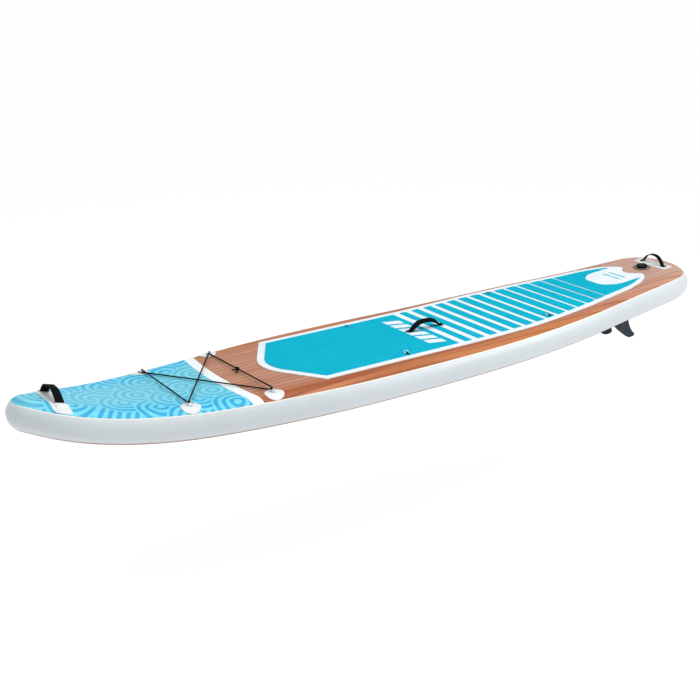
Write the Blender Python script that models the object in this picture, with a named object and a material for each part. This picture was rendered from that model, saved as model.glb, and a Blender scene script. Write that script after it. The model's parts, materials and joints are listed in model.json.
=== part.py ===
"""Inflatable stand up paddleboard, 12 ft 6 in long, with pad, bungee, handles, valve and fins.

Frame: +X to the nose, +Y to port, +Z up. The origin is on the flat of the hull bottom, at mid length.
The hull is built flat, as two panels with a half-round rail between them, and each section is then
lifted by the rocker. Everything on the deck is drawn in deck coordinates (x, y, height above the deck)
and laid onto that surface.
"""
import math

import bmesh
import bpy
from mathutils import Matrix, Quaternion, Vector

# Driving dimensions, in metres
LENGTH = 3.81
WIDTH = 0.82
THICKNESS = 0.15
RAIL_RADIUS = THICKNESS / 2
GAP = 0.0004
SKIN = 0.0015
RAIL_SKIN = 0.002

# Flat panel outline, tail to nose: fractions of its half length and of its half width
PANEL_SHAPE = (
    (-1.0, 0.0), (-0.995, 0.2), (-0.98, 0.365), (-0.945, 0.5), (-0.85, 0.58), (-0.705, 0.685),
    (-0.54, 0.825), (-0.35, 0.925), (-0.145, 0.975), (0.065, 1.0), (0.275, 0.98), (0.47, 0.88),
    (0.645, 0.74), (0.79, 0.565), (0.905, 0.36), (0.975, 0.14), (1.0, 0.0))
STEPS_PER_SPAN = 2
PRINT_WRAP = math.radians(42.5)

# Rocker: the hull is flat between the two starts and kicks up towards both ends
NOSE_KICK = 0.15
NOSE_START = 0.65
NOSE_POWER = 3.7
TAIL_KICK = 0.079
TAIL_START = -0.2
TAIL_POWER = 1.7

# Drop stitch core
CORE_TAIL = -1.6
CORE_NOSE = 1.66
CORE_MARGIN = 0.012
CLOTH = 0.0015
THREAD = 0.005
THREAD_COLUMNS = (-0.6, 0.0, 0.6)

# Traction pad
PAD_HALF = 0.302
PAD_MARGIN = 0.008
PAD_BORDER = 0.034
PAD_BASE = 0.003
PAD_TOP = 0.0025
PAD_TIP = 0.718
PAD_TIP_RADIUS = 0.2
PAD_TIP_ANGLE = math.radians(32)
STRIPE_FIRST = -0.217
STRIPE_PITCH = 0.0763
STRIPE_COUNT = 14
STRIPE_WIDEST = 0.038
STRIPE_NARROWEST = 0.010
PAD_TAIL_START = -1.38
NOTCH_CENTRE = -1.612
NOTCH_RADIUS = 0.06
PANEL_TIP = -1.314
PANEL_HALF = 0.1175

# Round patches at the rail, each with a D-ring; a ring's size is its width, depth and wire radius
PATCH_RADIUS = 0.043
PATCH_THICKNESS = 0.0012
PATCH_LIFT = 0.0012
PATCH_BEYOND = 0.012
RING_INBOARD = 0.014
RING_SIZE = (0.030, 0.024, 0.0022)
RING_TILT = math.radians(16)
RING_TAB_ROOM = 0.0029
TAB_THICKNESS = 0.0014
RING_PLACES = (("front_port", 1.208, 1), ("front_starboard", 1.208, -1),
               ("rear_port", 0.838, 1), ("rear_starboard", 0.838, -1))
CORD_RADIUS = 0.003
KNOT_RADIUS = 0.0075

# Small rings on the pad, at rest leaning up from it
PAD_RING_SIZE = (0.026, 0.022, 0.0018)
PAD_RING_LEAN = math.radians(25)
PAD_TAB_ROOM = 0.0024
PAD_TAB_THICKNESS = 0.0012
PAD_RING_PLACES = (("front_port", 0.094, 0.250), ("front_starboard", 0.094, -0.250),
                   ("rear_port", -0.790, 0.236), ("rear_starboard", -0.790, -0.236))

# Webbing handles: x, half span of the arch, its rise, webbing width, patch half length
NOSE_HANDLE = (1.708, 0.086, 0.050, 0.038)
TAIL_HANDLE = (-1.762, 0.070, 0.048, 0.025)
TAIL_PATCH_HALF = 0.112
WEBBING = 0.003
PATCH_WIDTH = 0.068

# Padded centre handle; the half widths and half thicknesses of its padded middle and its flat feet
GRIP_FRONT = -0.112
GRIP_REAR = -0.280
GRIP_RISE = 0.037
GRIP_HALVES = (0.014, 0.009)
FOOT_HALVES = (0.017, 0.0015)

# Inflation valve
VALVE_X = -1.676
FLANGE_RADIUS = 0.045
FLANGE = 0.003
COLLAR_RADIUS = 0.0235
COLLAR_HEIGHT = 0.009
BORE_RADIUS = 0.0195
BARREL_RADIUS = 0.0225
BARREL_DEPTH = 0.034
VALVE_HOLE = 0.0235
CAP_RADIUS = 0.0275
STRAP_PIVOT = 0.039
SPRING_WIRE = 0.0007
SPRING_TURNS = 4

# Fins: the centre fin slides aft out of its box
FIN_BOX_X = -1.49
FIN_BOX_LENGTH = 0.26
FIN_BOX_WIDTH = 0.07
BOX_PLATE = 0.0034
BOX_DEPTH = 0.0195
SLOT_NECK = 0.0055
SLOT_HALF = 0.0085
SLOT_FLOOR = 0.0135
SLOT_ROOF = 0.0075
LEVER_X = 0.102
LEVER_DEPTH = 0.0145
SIDE_FIN_X = -1.275
SIDE_FIN_Y = 0.12
SIDE_FIN_TOE = math.radians(3)


def clear_scene():
    for old in list(bpy.data.objects):
        bpy.data.objects.remove(old, do_unlink=True)


def material(name, colour, roughness, metallic=0.0):
    made = bpy.data.materials.new(name)
    made.use_nodes = True
    shader = made.node_tree.nodes["Principled BSDF"]
    shader.inputs["Base Color"].default_value = (*colour, 1.0)
    shader.inputs["Roughness"].default_value = roughness
    shader.inputs["Metallic"].default_value = metallic
    return made


# ---------------------------------------------------------------- outline and rocker

def catmull_rom(before, start, end, after, t):
    """Point at t between start and end on the smooth curve through the four points."""
    return 0.5 * (2 * start + (end - before) * t
                  + (2 * before - 5 * start + 4 * end - after) * t ** 2
                  + (3 * start - before - 3 * end + after) * t ** 3)


def side_curve():
    """Port half of the flat panel's outline, tail to nose, as plan vectors."""
    half_length = LENGTH / 2 - RAIL_RADIUS
    half_width = WIDTH / 2 - RAIL_RADIUS
    knots = [Vector((x * half_length, y * half_width)) for x, y in PANEL_SHAPE]
    mirrored = [Vector((p.x, -p.y)) for p in (knots[1], knots[-2])]
    line = [mirrored[0]] + knots + [mirrored[1]]
    points = []
    for i in range(1, len(line) - 2):
        for step in range(STEPS_PER_SPAN):
            points.append(catmull_rom(*line[i - 1:i + 3], step / STEPS_PER_SPAN))
    points.append(knots[-1])
    return points


SIDE = side_curve()
# The closed outline: starboard from nose to tail is the port side mirrored
LOOP = SIDE + [Vector((p.x, -p.y)) for p in reversed(SIDE[1:-1])]
STATIONS = [p.x for p in SIDE]


def rocker(x):
    nose = max(x - NOSE_START, 0) / (LENGTH / 2 - NOSE_START)
    tail = max(TAIL_START - x, 0) / (LENGTH / 2 + TAIL_START)
    return NOSE_KICK * nose ** NOSE_POWER + TAIL_KICK * tail ** TAIL_POWER


def between_stations(x, value):
    """Value at x read straight between the hull's stations, as its flat facets run."""
    x = min(max(x, STATIONS[0]), STATIONS[-1])
    for low, high in zip(SIDE, SIDE[1:]):
        if x <= high.x:
            share = (x - low.x) / max(high.x - low.x, 1e-9)
            return value(low) * (1 - share) + value(high) * share
    return value(SIDE[-1])


def lift(x):
    return between_stations(x, lambda p: rocker(p.x))


def panel_half(x):
    return between_stations(x, lambda p: p.y)


def slope(x, reach=0.03):
    return (lift(x + reach) - lift(x - reach)) / (2 * reach)


def outward(index):
    """Outward normal of the closed outline at a loop point."""
    run = LOOP[(index + 1) % len(LOOP)] - LOOP[index - 1]
    return Vector((-run.y, run.x)).normalized()


def foot_on_side(point):
    """Nearest point of the port side to a plan point, with its outward normal and signed distance."""
    best = None
    for low, high in zip(SIDE, SIDE[1:]):
        run = high - low
        share = min(max((point - low).dot(run) / run.dot(run), 0), 1)
        foot = low + run * share
        if best is None or (point - foot).length < (point - best[0]).length:
            best = (foot, Vector((-run.y, run.x)).normalized())
    foot, normal = best
    offset = point - foot
    if offset.dot(normal) > 1e-6:
        return foot, offset.normalized(), offset.length
    return foot, normal, offset.dot(normal)


def deck_point(x, y, height):
    """World place of a point in deck coordinates, wrapped over the rail where y runs past the panel."""
    side = -1 if y < 0 else 1
    foot, normal, beyond = foot_on_side(Vector((x, abs(y))))
    if beyond <= 0:
        return Vector((x, y, THICKNESS + lift(x) + height))
    angle = beyond / RAIL_RADIUS
    reach = (RAIL_RADIUS + height) * math.sin(angle)
    rise = RAIL_RADIUS + (RAIL_RADIUS + height) * math.cos(angle)
    place = foot + normal * reach
    return Vector((place.x, side * place.y, rise + lift(foot.x)))


# ---------------------------------------------------------------- mesh helpers

def finish_mesh(bm, name, surface, matrix=None, smooth=True):
    """Turn a bmesh into a named object with outward faces."""
    bmesh.ops.remove_doubles(bm, verts=bm.verts, dist=1e-6)
    bmesh.ops.recalc_face_normals(bm, faces=bm.faces)
    mesh = bpy.data.meshes.new(name)
    bm.to_mesh(mesh)
    bm.free()
    mesh.materials.append(surface)
    if smooth:
        mesh.shade_smooth()
        mesh.set_sharp_from_angle(angle=math.radians(35))
    made = bpy.data.objects.new(name, mesh)
    bpy.context.collection.objects.link(made)
    if matrix is not None:
        made.matrix_world = matrix
    return made


def skin_rings(bm, angles, radius):
    """Rings of vertices round the rail, one ring for each angle from straight up."""
    rings = []
    for angle in angles:
        ring = []
        for i, foot in enumerate(LOOP):
            plan = foot + outward(i) * (radius * math.sin(angle))
            height = RAIL_RADIUS + radius * math.cos(angle)
            ring.append(bm.verts.new((plan.x, plan.y, height + rocker(foot.x))))
        rings.append(ring)
    return rings


def join_rings(bm, rings):
    for low, high in zip(rings, rings[1:]):
        for i in range(len(low)):
            j = (i + 1) % len(low)
            bm.faces.new((low[i], low[j], high[j], high[i]))


def fill_ladder(bm, ring):
    """Close the ring at the panel's edge with one flat strip between each pair of stations."""
    count = len(ring)
    for i in range(len(SIDE) - 1):
        corners = (ring[i], ring[i + 1], ring[(count - i - 1) % count], ring[(count - i) % count])
        bm.faces.new(list(dict.fromkeys(corners)))


def spread(start, end, count):
    return [start + (end - start) * i / count for i in range(count + 1)]


def panel_skin(name, start, end, surface):
    """Top or bottom skin: the flat panel and its wrap round the rail as far as the end angle."""
    bm = bmesh.new()
    angles = spread(start, end, 3)
    outer = skin_rings(bm, angles, RAIL_RADIUS)
    inner = skin_rings(bm, angles, RAIL_RADIUS - SKIN)
    join_rings(bm, outer)
    join_rings(bm, inner)
    join_rings(bm, [outer[-1], inner[-1]])
    fill_ladder(bm, outer[0])
    fill_ladder(bm, inner[0])
    return finish_mesh(bm, name, surface)


def rail_skin(name, start, end, surface):
    bm = bmesh.new()
    angles = spread(start, end, 4)
    outer = skin_rings(bm, angles, RAIL_RADIUS)
    inner = skin_rings(bm, angles, RAIL_RADIUS - RAIL_SKIN)
    join_rings(bm, outer)
    join_rings(bm, inner)
    join_rings(bm, [outer[0], inner[0]])
    join_rings(bm, [outer[-1], inner[-1]])
    return finish_mesh(bm, name, surface)


def prism(outline, low, high):
    """Upright prism over a plan outline, as a bmesh."""
    bm = bmesh.new()
    floor = [bm.verts.new((x, y, low)) for x, y in outline]
    roof = [bm.verts.new((x, y, high)) for x, y in outline]
    bm.faces.new(floor)
    bm.faces.new(roof)
    for i in range(len(outline)):
        j = (i + 1) % len(outline)
        bm.faces.new((floor[i], floor[j], roof[j], roof[i]))
    return bm


def lay_on_deck(bm, name, surface, smooth=True, x_folds=(), y_folds=()):
    """Take a shape drawn in deck coordinates to its place on the deck.

    It is first cut across wherever the deck changes slope, and at the folds, so that it can bend.
    """
    low = min(v.co.x for v in bm.verts)
    high = max(v.co.x for v in bm.verts)
    across = [x for x in STATIONS if low + 0.002 < x < high - 0.002] + list(x_folds)
    planes = [((x, 0, 0), (1, 0, 0)) for x in across] + [((0, y, 0), (0, 1, 0)) for y in y_folds]
    for place, normal in planes:
        parts = bm.verts[:] + bm.edges[:] + bm.faces[:]
        bmesh.ops.bisect_plane(bm, geom=parts, dist=1e-5, plane_co=place, plane_no=normal)
    for vert in bm.verts:
        vert.co = deck_point(*vert.co)
    return finish_mesh(bm, name, surface, smooth=smooth)


def rounded(corners, steps=4):
    """Outline through corners given as (x, y, radius), with an arc at each one that has a radius."""
    outline = []
    for i, (x, y, radius) in enumerate(corners):
        here = Vector((x, y))
        if radius == 0:
            outline.append((x, y))
            continue
        back = (Vector(corners[i - 1][:2]) - here).normalized()
        ahead = (Vector(corners[(i + 1) % len(corners)][:2]) - here).normalized()
        half = back.angle(ahead) / 2
        centre = here + (back + ahead).normalized() * (radius / math.sin(half))
        start = here + back * (radius / math.tan(half)) - centre
        end = here + ahead * (radius / math.tan(half)) - centre
        sweep = start.angle_signed(end)
        for step in range(steps + 1):
            turn = Matrix.Rotation(-sweep * step / steps, 2)
            outline.append(tuple(centre + turn @ start))
    return outline


def mirror_outline(half):
    """Close an outline given for the port side, nose to tail, with its mirror image."""
    starboard = [(x, -y) for x, y in reversed(half) if y > 1e-6]
    return list(half) + starboard


def strip(path, across, width, thickness):
    """Flat band along a path of points; across is the direction of its width."""
    bm = bmesh.new()
    rings = []
    for i, point in enumerate(path):
        run = path[min(i + 1, len(path) - 1)] - path[max(i - 1, 0)]
        normal = run.cross(across).normalized() * (thickness / 2)
        edge = across * (width / 2)
        rings.append([bm.verts.new(point + a + b)
                      for a, b in ((edge, normal), (-edge, normal), (-edge, -normal), (edge, -normal))])
    join_rings(bm, rings)
    bm.faces.new(rings[0])
    bm.faces.new(rings[-1])
    return bm


def sweep_round(bm, path, radii, sides, closed=False):
    """Round rod along a path; radii gives one radius, or a (width, height) pair, for each point."""
    count = len(path)
    runs = []
    for i in range(count):
        before = path[i - 1] if closed or i else path[0]
        after = path[(i + 1) % count] if closed or i < count - 1 else path[-1]
        runs.append((after - before).normalized())
    up = Vector((1, 0, 0)) if abs(runs[0].z) > 0.9 else Vector((0, 0, 1))
    tops = [(up - runs[0] * up.dot(runs[0])).normalized()]
    for before, after in zip(runs, runs[1:]):
        tops.append(before.rotation_difference(after) @ tops[-1])
    twist = 0.0
    if closed:
        last = runs[-1].rotation_difference(runs[0]) @ tops[-1]
        twist = math.atan2(last.cross(tops[0]).dot(runs[0]), last.dot(tops[0]))
    rings = []
    for i, point in enumerate(path):
        top = Quaternion(runs[i], twist * i / count) @ tops[i]
        side = runs[i].cross(top)
        wide, high = radii[i] if isinstance(radii[i], tuple) else (radii[i], radii[i])
        rings.append([bm.verts.new(point + side * wide * math.cos(a) + top * high * math.sin(a))
                      for a in spread(0, 2 * math.pi, sides)[:-1]])
    join_rings(bm, rings + rings[:1] if closed else rings)
    if not closed:
        bm.faces.new(rings[0])
        bm.faces.new(rings[-1])


def turned(profile, segments):
    """Solid of revolution about Z from a closed (radius, height) profile off the axis or ending on it."""
    bm = bmesh.new()
    columns = []
    for i in range(segments):
        turn = 2 * math.pi * i / segments
        columns.append([bm.verts.new((r * math.cos(turn), r * math.sin(turn), z)) for r, z in profile])
    for i in range(segments):
        left = columns[i]
        right = columns[(i + 1) % segments]
        for j in range(len(profile)):
            k = (j + 1) % len(profile)
            on_axis = profile[j][0] < 1e-9 and profile[k][0] < 1e-9
            if not on_axis:
                bm.faces.new((left[j], right[j], right[k], left[k]))
    bmesh.ops.remove_doubles(bm, verts=bm.verts, dist=1e-6)
    bmesh.ops.dissolve_degenerate(bm, dist=1e-7, edges=bm.edges)
    return bm


def combine(target, tool_mesh, name, operation, matrix):
    """Join a shape to an object for good, or take it out."""
    mesh = bpy.data.meshes.new(name)
    bmesh.ops.recalc_face_normals(tool_mesh, faces=tool_mesh.faces)
    tool_mesh.to_mesh(mesh)
    tool_mesh.free()
    tool = bpy.data.objects.new(name, mesh)
    bpy.context.collection.objects.link(tool)
    tool.matrix_world = matrix
    tool.hide_render = True
    tool.display_type = "WIRE"
    boolean = target.modifiers.new(name, "BOOLEAN")
    boolean.operation = operation
    boolean.solver = "EXACT"
    boolean.object = tool


# ---------------------------------------------------------------- hull

def build_core(surface):
    """Drop stitch core: an upper and a lower cloth tied by upright thread bundles."""
    rows = []
    for number, x in enumerate(STATIONS):
        if not CORE_TAIL < x < CORE_NOSE:
            continue
        rows += [x - THREAD, x + THREAD] if number % 2 else [x]
    tied = [b - a < 3 * THREAD for a, b in zip(rows, rows[1:])]
    bm = bmesh.new()
    levels = (THICKNESS - SKIN - GAP, THICKNESS - SKIN - GAP - CLOTH, SKIN + GAP + CLOTH, SKIN + GAP)
    grids = []
    for level in levels:
        grid = []
        for x in rows:
            half = panel_half(x) - CORE_MARGIN
            ys = [-half]
            for share in THREAD_COLUMNS:
                ys += [share * half - THREAD, share * half + THREAD]
            ys.append(half)
            grid.append([bm.verts.new((x, y, level + lift(x))) for y in ys])
        grids.append(grid)
    top, under, over, bottom = grids
    columns = len(under[0])
    for i in range(len(rows) - 1):
        for outer, inner in ((top, under), (bottom, over)):
            bm.faces.new((outer[i][0], outer[i][-1], outer[i + 1][-1], outer[i + 1][0]))
            for j in (0, -1):
                bm.faces.new((outer[i][j], outer[i + 1][j], inner[i + 1][j], inner[i][j]))
        for j in range(columns - 1):
            corners = ((i, j), (i, j + 1), (i + 1, j + 1), (i + 1, j))
            if tied[i] and j % 2:
                for (a, b), (c, d) in zip(corners, corners[1:] + corners[:1]):
                    bm.faces.new((under[a][b], under[c][d], over[c][d], over[a][b]))
            else:
                bm.faces.new([under[a][b] for a, b in corners])
                bm.faces.new([over[a][b] for a, b in corners])
    for i in (0, -1):
        for outer, inner in ((top, under), (bottom, over)):
            bm.faces.new([outer[i][0]] + inner[i] + [outer[i][-1]])
    # outer cloth faces span the full width, so their middle vertices are not needed
    loose = [v for v in bm.verts if not v.link_faces]
    bmesh.ops.delete(bm, geom=loose, context="VERTS")
    return finish_mesh(bm, "drop_stitch_core", surface, smooth=False)


def build_hull(surfaces):
    seam = PRINT_WRAP + GAP / RAIL_RADIUS
    deck = panel_skin("deck_skin", 0, PRINT_WRAP, surfaces["deck"])
    panel_skin("bottom_skin", math.pi, math.pi - PRINT_WRAP, surfaces["bottom"])
    rail_skin("rail_wall", seam, math.pi - seam, surfaces["rail"])
    build_core(surfaces["cloth"])
    hole = turned([(0, -0.02), (VALVE_HOLE, -0.02), (VALVE_HOLE, 0.02), (0, 0.02)], 24)
    combine(deck, hole, "valve_hole", "DIFFERENCE", deck_frame(VALVE_X))


def deck_frame(x, y=0.0, height=0.0):
    """Matrix of a frame that stands on the deck at x, with its Z square to the deck."""
    tilt = Matrix.Rotation(-math.atan(slope(x)), 4, "Y")
    return Matrix.Translation((x, y, THICKNESS + lift(x) + height)) @ tilt


def hull_frame(x, y=0.0, height=0.0):
    """Matrix of a frame on the hull bottom at x, with its X aft and its Z down, square to the hull."""
    tilt = Matrix.Rotation(-math.atan(slope(x)), 4, "Y")
    flip = Matrix.Rotation(math.pi, 4, "Y")
    return Matrix.Translation((x, y, lift(x))) @ tilt @ flip @ Matrix.Translation((0, 0, height))


# ---------------------------------------------------------------- traction pad

def pad_half(x):
    return min(PAD_HALF, panel_half(x) - PAD_MARGIN)


def pad_front_edge(inset):
    """Rounded point of the pad from its tip to the port corner."""
    radius = PAD_TIP_RADIUS
    points = []
    for angle in spread(0, PAD_TIP_ANGLE, 4):
        reach = radius - inset
        points.append((PAD_TIP - radius + reach * math.cos(angle), reach * math.sin(angle)))
    x, y = points[-1]
    side = pad_half(0.57) - inset
    points.append((x - (side - y) * math.tan(PAD_TIP_ANGLE), side))
    return points


def pad_side(start, end, inset):
    inside = [x for x in reversed(STATIONS) if end + 0.01 < x < start - 0.01]
    return [(x, pad_half(x) - inset) for x in [start] + inside + [end]]


def pad_tail_edge():
    """Port lobe of the pad's tail and the notch that leaves room round the valve."""
    corners = rounded([
        (PAD_TAIL_START, pad_half(PAD_TAIL_START), 0), (-1.5, 0.172, 0.15), (-1.568, 0.128, 0.12),
        (-1.604, 0.080, 0.022), (NOTCH_CENTRE + 0.024, 0.055, 0)])
    start = math.atan2(0.055, 0.024)
    notch = [(NOTCH_CENTRE + NOTCH_RADIUS * math.cos(a), NOTCH_RADIUS * math.sin(a))
             for a in spread(start, 0, 4)]
    return corners[1:-1] + notch


def stripe_edges(number):
    """Front and rear x of a white stripe; the stripes get narrower towards the tail."""
    share = number / (STRIPE_COUNT - 1)
    width = STRIPE_WIDEST + (STRIPE_NARROWEST - STRIPE_WIDEST) * share
    centre = STRIPE_FIRST - STRIPE_PITCH * number
    return centre + width / 2, centre - width / 2


def tail_panel_outline():
    """White panel between the horns of the tail piece, port side, front to back."""
    corners = [(PANEL_TIP, 0, 0), (PANEL_TIP, 0.065, 0.06), (PANEL_TIP - 0.07, PANEL_HALF, 0.07)]
    outline = rounded(corners + [(PANEL_TIP - 0.2, PANEL_HALF, 0)])
    return outline[:-1]


def build_pad(surfaces):
    base = pad_front_edge(0) + pad_side(0.55, PAD_TAIL_START, 0) + pad_tail_edge()
    lay_on_deck(prism(mirror_outline(base), GAP, PAD_BASE), "pad_base", surfaces["pad_white"], False)

    low = PAD_BASE + GAP
    high = PAD_BASE + PAD_TOP
    front = pad_front_edge(PAD_BORDER) + pad_side(0.5, stripe_edges(0)[0], PAD_BORDER)
    lay_on_deck(prism(mirror_outline(front), low, high), "pad_front", surfaces["pad_cyan"], False)

    for number in range(STRIPE_COUNT - 1):
        start = stripe_edges(number)[1]
        end = stripe_edges(number + 1)[0]
        band = [(start, pad_half(start) - PAD_BORDER), (end, pad_half(end) - PAD_BORDER)]
        lay_on_deck(prism(mirror_outline(band), low, high), f"pad_band_{number + 1:02d}",
                    surfaces["pad_cyan"], False)

    start = stripe_edges(STRIPE_COUNT - 1)[1]
    outer = pad_side(start, -1.36, PAD_BORDER - 0.004)
    horn_tip = [(-1.44, 0.160), (-1.50, 0.138), (-1.538, PANEL_HALF + 0.002)]
    inner = list(reversed(tail_panel_outline()))
    tail = outer + horn_tip + inner
    lay_on_deck(prism(mirror_outline(tail), low, high), "pad_tail", surfaces["pad_cyan"], False)


# ---------------------------------------------------------------- rings, tabs and patches

def surface_frame(x, y, height):
    """Frame on the deck at a point: Z square to the surface and X pointing inboard along it."""
    side = -1 if y < 0 else 1
    normal = foot_on_side(Vector((x, abs(y))))[1]
    inboard = Vector((-normal.x, -side * normal.y)) * 0.003
    along = Vector((-inboard.y, inboard.x))
    middle = deck_point(x, y, 0)
    x_axis = (deck_point(x + inboard.x, y + inboard.y, 0) - middle).normalized()
    z_axis = x_axis.cross(deck_point(x + along.x, y + along.y, 0) - middle).normalized()
    turn = Matrix((x_axis, z_axis.cross(x_axis), z_axis)).transposed().to_4x4()
    return Matrix.Translation(middle + z_axis * height) @ turn


def from_edge(x, side, beyond):
    """Deck coordinates of a point a given way outboard of the panel's edge at x."""
    half = panel_half(x)
    normal = foot_on_side(Vector((x, half + 0.01)))[1]
    return x + normal.x * beyond, side * (half + normal.y * beyond)


def build_ring(name, size, matrix, surface):
    """D-ring with its straight bar on the frame's Y axis and its bow towards X."""
    width, depth, wire = size
    half = width / 2 - wire
    path = [Vector((0, share * half, 0)) for share in (-0.75, 0.75)]
    path += [Vector(((depth - 2 * wire) * math.cos(a), half * math.sin(a), 0))
             for a in spread(math.radians(66), math.radians(-66), 8)]
    bm = bmesh.new()
    sweep_round(bm, path, [wire] * len(path), 6, closed=True)
    return finish_mesh(bm, name, surface, matrix)


def build_tab(name, width, run, room, thickness, matrix, surface):
    """Webbing folded round a ring's bar: an eye at the frame's origin and a flat tail to -X."""
    outer = room + thickness
    eye = [math.radians(150 - 30 * i) for i in range(9)]
    rest = [math.radians(-120), math.radians(-180)]
    bm = bmesh.new()
    rims = []
    bores = []
    for y in (-width / 2, width / 2):
        rim = [bm.verts.new((outer * math.cos(a), y, outer * math.sin(a))) for a in eye]
        rim.append(bm.verts.new((-run, y, -outer)))
        rim.append(bm.verts.new((-run, y, 2 * thickness - outer)))
        bore = [bm.verts.new((room * math.cos(a), y, room * math.sin(a))) for a in eye + rest]
        for i in range(8):
            bm.faces.new((rim[i], rim[i + 1], bore[i + 1], bore[i]))
        bm.faces.new(rim[8:] + [rim[0], bore[0], bore[10], bore[9], bore[8]])
        rims.append(rim)
        bores.append(bore)
    join_rings(bm, rims)
    join_rings(bm, bores)
    return finish_mesh(bm, name, surface, matrix, smooth=False)


def build_disc(name, x, y, surface):
    """Round patch, drawn with inner rings so that it bends over the shoulder of the rail."""
    bm = bmesh.new()
    rims = []
    for z in (PATCH_LIFT, PATCH_LIFT + PATCH_THICKNESS):
        rings = [[bm.verts.new((x + reach * math.cos(a), y + reach * math.sin(a), z))
                  for a in spread(0, 2 * math.pi, 16)[:-1]]
                 for reach in (PATCH_RADIUS, 0.55 * PATCH_RADIUS)]
        join_rings(bm, rings)
        centre = bm.verts.new((x, y, z))
        for i in range(16):
            bm.faces.new((rings[1][i], rings[1][(i + 1) % 16], centre))
        rims.append(rings[0])
    join_rings(bm, rims)
    return lay_on_deck(bm, name, surface)


def build_deck_rings(surfaces):
    """Four patches at the rail with the D-rings that hold the bungee; returns the rings' frames."""
    frames = {}
    outer = RING_TAB_ROOM + TAB_THICKNESS
    for place, x, side in RING_PLACES:
        build_disc(f"ring_patch_{place}", *from_edge(x, side, PATCH_BEYOND), surfaces["white"])
        height = PATCH_LIFT + PATCH_THICKNESS + 2 * GAP + outer
        frame = surface_frame(*from_edge(x, side, PATCH_BEYOND - RING_INBOARD), height)
        build_tab(f"ring_tab_{place}", 0.016, 0.014, RING_TAB_ROOM, TAB_THICKNESS, frame,
                  surfaces["white"])
        frame = frame @ Matrix.Rotation(-RING_TILT, 4, "Y")
        build_ring(f"d_ring_{place}", RING_SIZE, frame, surfaces["steel"])
        frames[place] = frame
    return frames


def build_pad_rings(surfaces):
    """Four small tie-down rings, each in a fold of webbing on the pad."""
    outer = PAD_TAB_ROOM + PAD_TAB_THICKNESS
    for place, x, y in PAD_RING_PLACES:
        frame = deck_frame(x, y, PAD_BASE + PAD_TOP + 2 * GAP + outer)
        frame = frame @ Matrix.Rotation(math.copysign(math.pi / 2, -y), 4, "Z")
        build_tab(f"pad_tab_{place}", 0.010, 0.014, PAD_TAB_ROOM, PAD_TAB_THICKNESS, frame,
                  surfaces["black_cloth"])
        build_ring(f"pad_ring_{place}", PAD_RING_SIZE, frame @ Matrix.Rotation(-PAD_RING_LEAN, 4, "Y"),
                   surfaces["steel"])


# ---------------------------------------------------------------- bungee

def round_bow(frame, toward, above):
    """Cord points round a ring's bow, from the middle of the ring out to where the leg starts."""
    bow = RING_SIZE[1] - 2 * RING_SIZE[2]
    turn = RING_SIZE[2] + CORD_RADIUS + 0.0009
    away = frame.inverted() @ toward
    lean = away.y / (away.x - bow)
    sign = 1 if above else -1
    points = []
    for degrees in (145, 112, 80):
        a = math.radians(degrees)
        out = turn * (1 + math.cos(a))
        points.append(frame @ Vector((bow - turn + out, lean * out, sign * turn * math.sin(a))))
    return points


def build_bungee(frames, surface):
    """One closed loop of cord: a diagonal, the rear crossing with its knot, a diagonal, the front."""
    legs = (("front_port", "rear_starboard", True, True), ("rear_starboard", "rear_port", False, True),
            ("rear_port", "front_starboard", False, False), ("front_starboard", "front_port", True, False))
    path = []
    radii = []
    for start, end, starts_above, ends_above in legs:
        here = frames[start]
        there = frames[end]
        inside = here @ Vector((RING_SIZE[1] - 3 * RING_SIZE[2] - CORD_RADIUS - 0.0009, 0, 0))
        leave = round_bow(here, there.translation, starts_above)
        arrive = round_bow(there, here.translation, ends_above)
        path += [inside] + leave
        radii += [CORD_RADIUS] * 4
        shares = (0.25, 0.5, 0.75)
        if (start, end) == ("rear_starboard", "rear_port"):
            shares = (0.25, 0.440, 0.452, 0.464, 0.476, 0.488, 0.75)
        for share in shares:
            path.append(leave[-1].lerp(arrive[-1], share))
            in_knot = len(shares) > 3 and 0.445 < share < 0.485
            radii.append(KNOT_RADIUS if in_knot else CORD_RADIUS)
        path += reversed(arrive)
        radii += [CORD_RADIUS] * 3
    bm = bmesh.new()
    sweep_round(bm, path, radii, 8, closed=True)
    return finish_mesh(bm, "bungee_cord", surface)


# ---------------------------------------------------------------- handles

def build_draped_patch(name, middle, half_at, surface):
    """Patch across the board that wraps over both shoulders of the rail."""
    columns = [middle + PATCH_WIDTH * share for share in (-0.5, -0.38, -0.13, 0.13, 0.38, 0.5)]
    rows = 32
    bm = bmesh.new()
    levels = []
    for height in (PATCH_LIFT, PATCH_LIFT + PATCH_THICKNESS):
        grid = []
        for number, x in enumerate(columns):
            half = half_at(x) - (0.012 if number in (0, 5) else 0)
            grid.append([bm.verts.new((x, half * (2 * j / rows - 1), height)) for j in range(rows + 1)])
        for i in range(len(columns) - 1):
            for j in range(rows):
                bm.faces.new((grid[i][j], grid[i][j + 1], grid[i + 1][j + 1], grid[i + 1][j]))
        rim = grid[0] + [column[-1] for column in grid[1:-1]] + grid[-1][::-1]
        levels.append(rim + [column[0] for column in grid[-2:0:-1]])
    join_rings(bm, levels)
    return lay_on_deck(bm, name, surface)


def arch_path(x, half, rise, base, foot):
    """Arch across the board with a flat foot at each end, in deck coordinates."""
    shares = (1.0, 0.93, 0.8, 0.6, 0.3, 0.0)
    side = [(half + foot * share, base) for share in (1.0, 0.65, 0.3)]
    side += [(half * share, base + rise * (1 - share ** 2.6)) for share in shares]
    path = [Vector((x, y, h)) for y, h in side]
    return path + [Vector((x, -y, h)) for y, h in reversed(side[:-1])]


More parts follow.
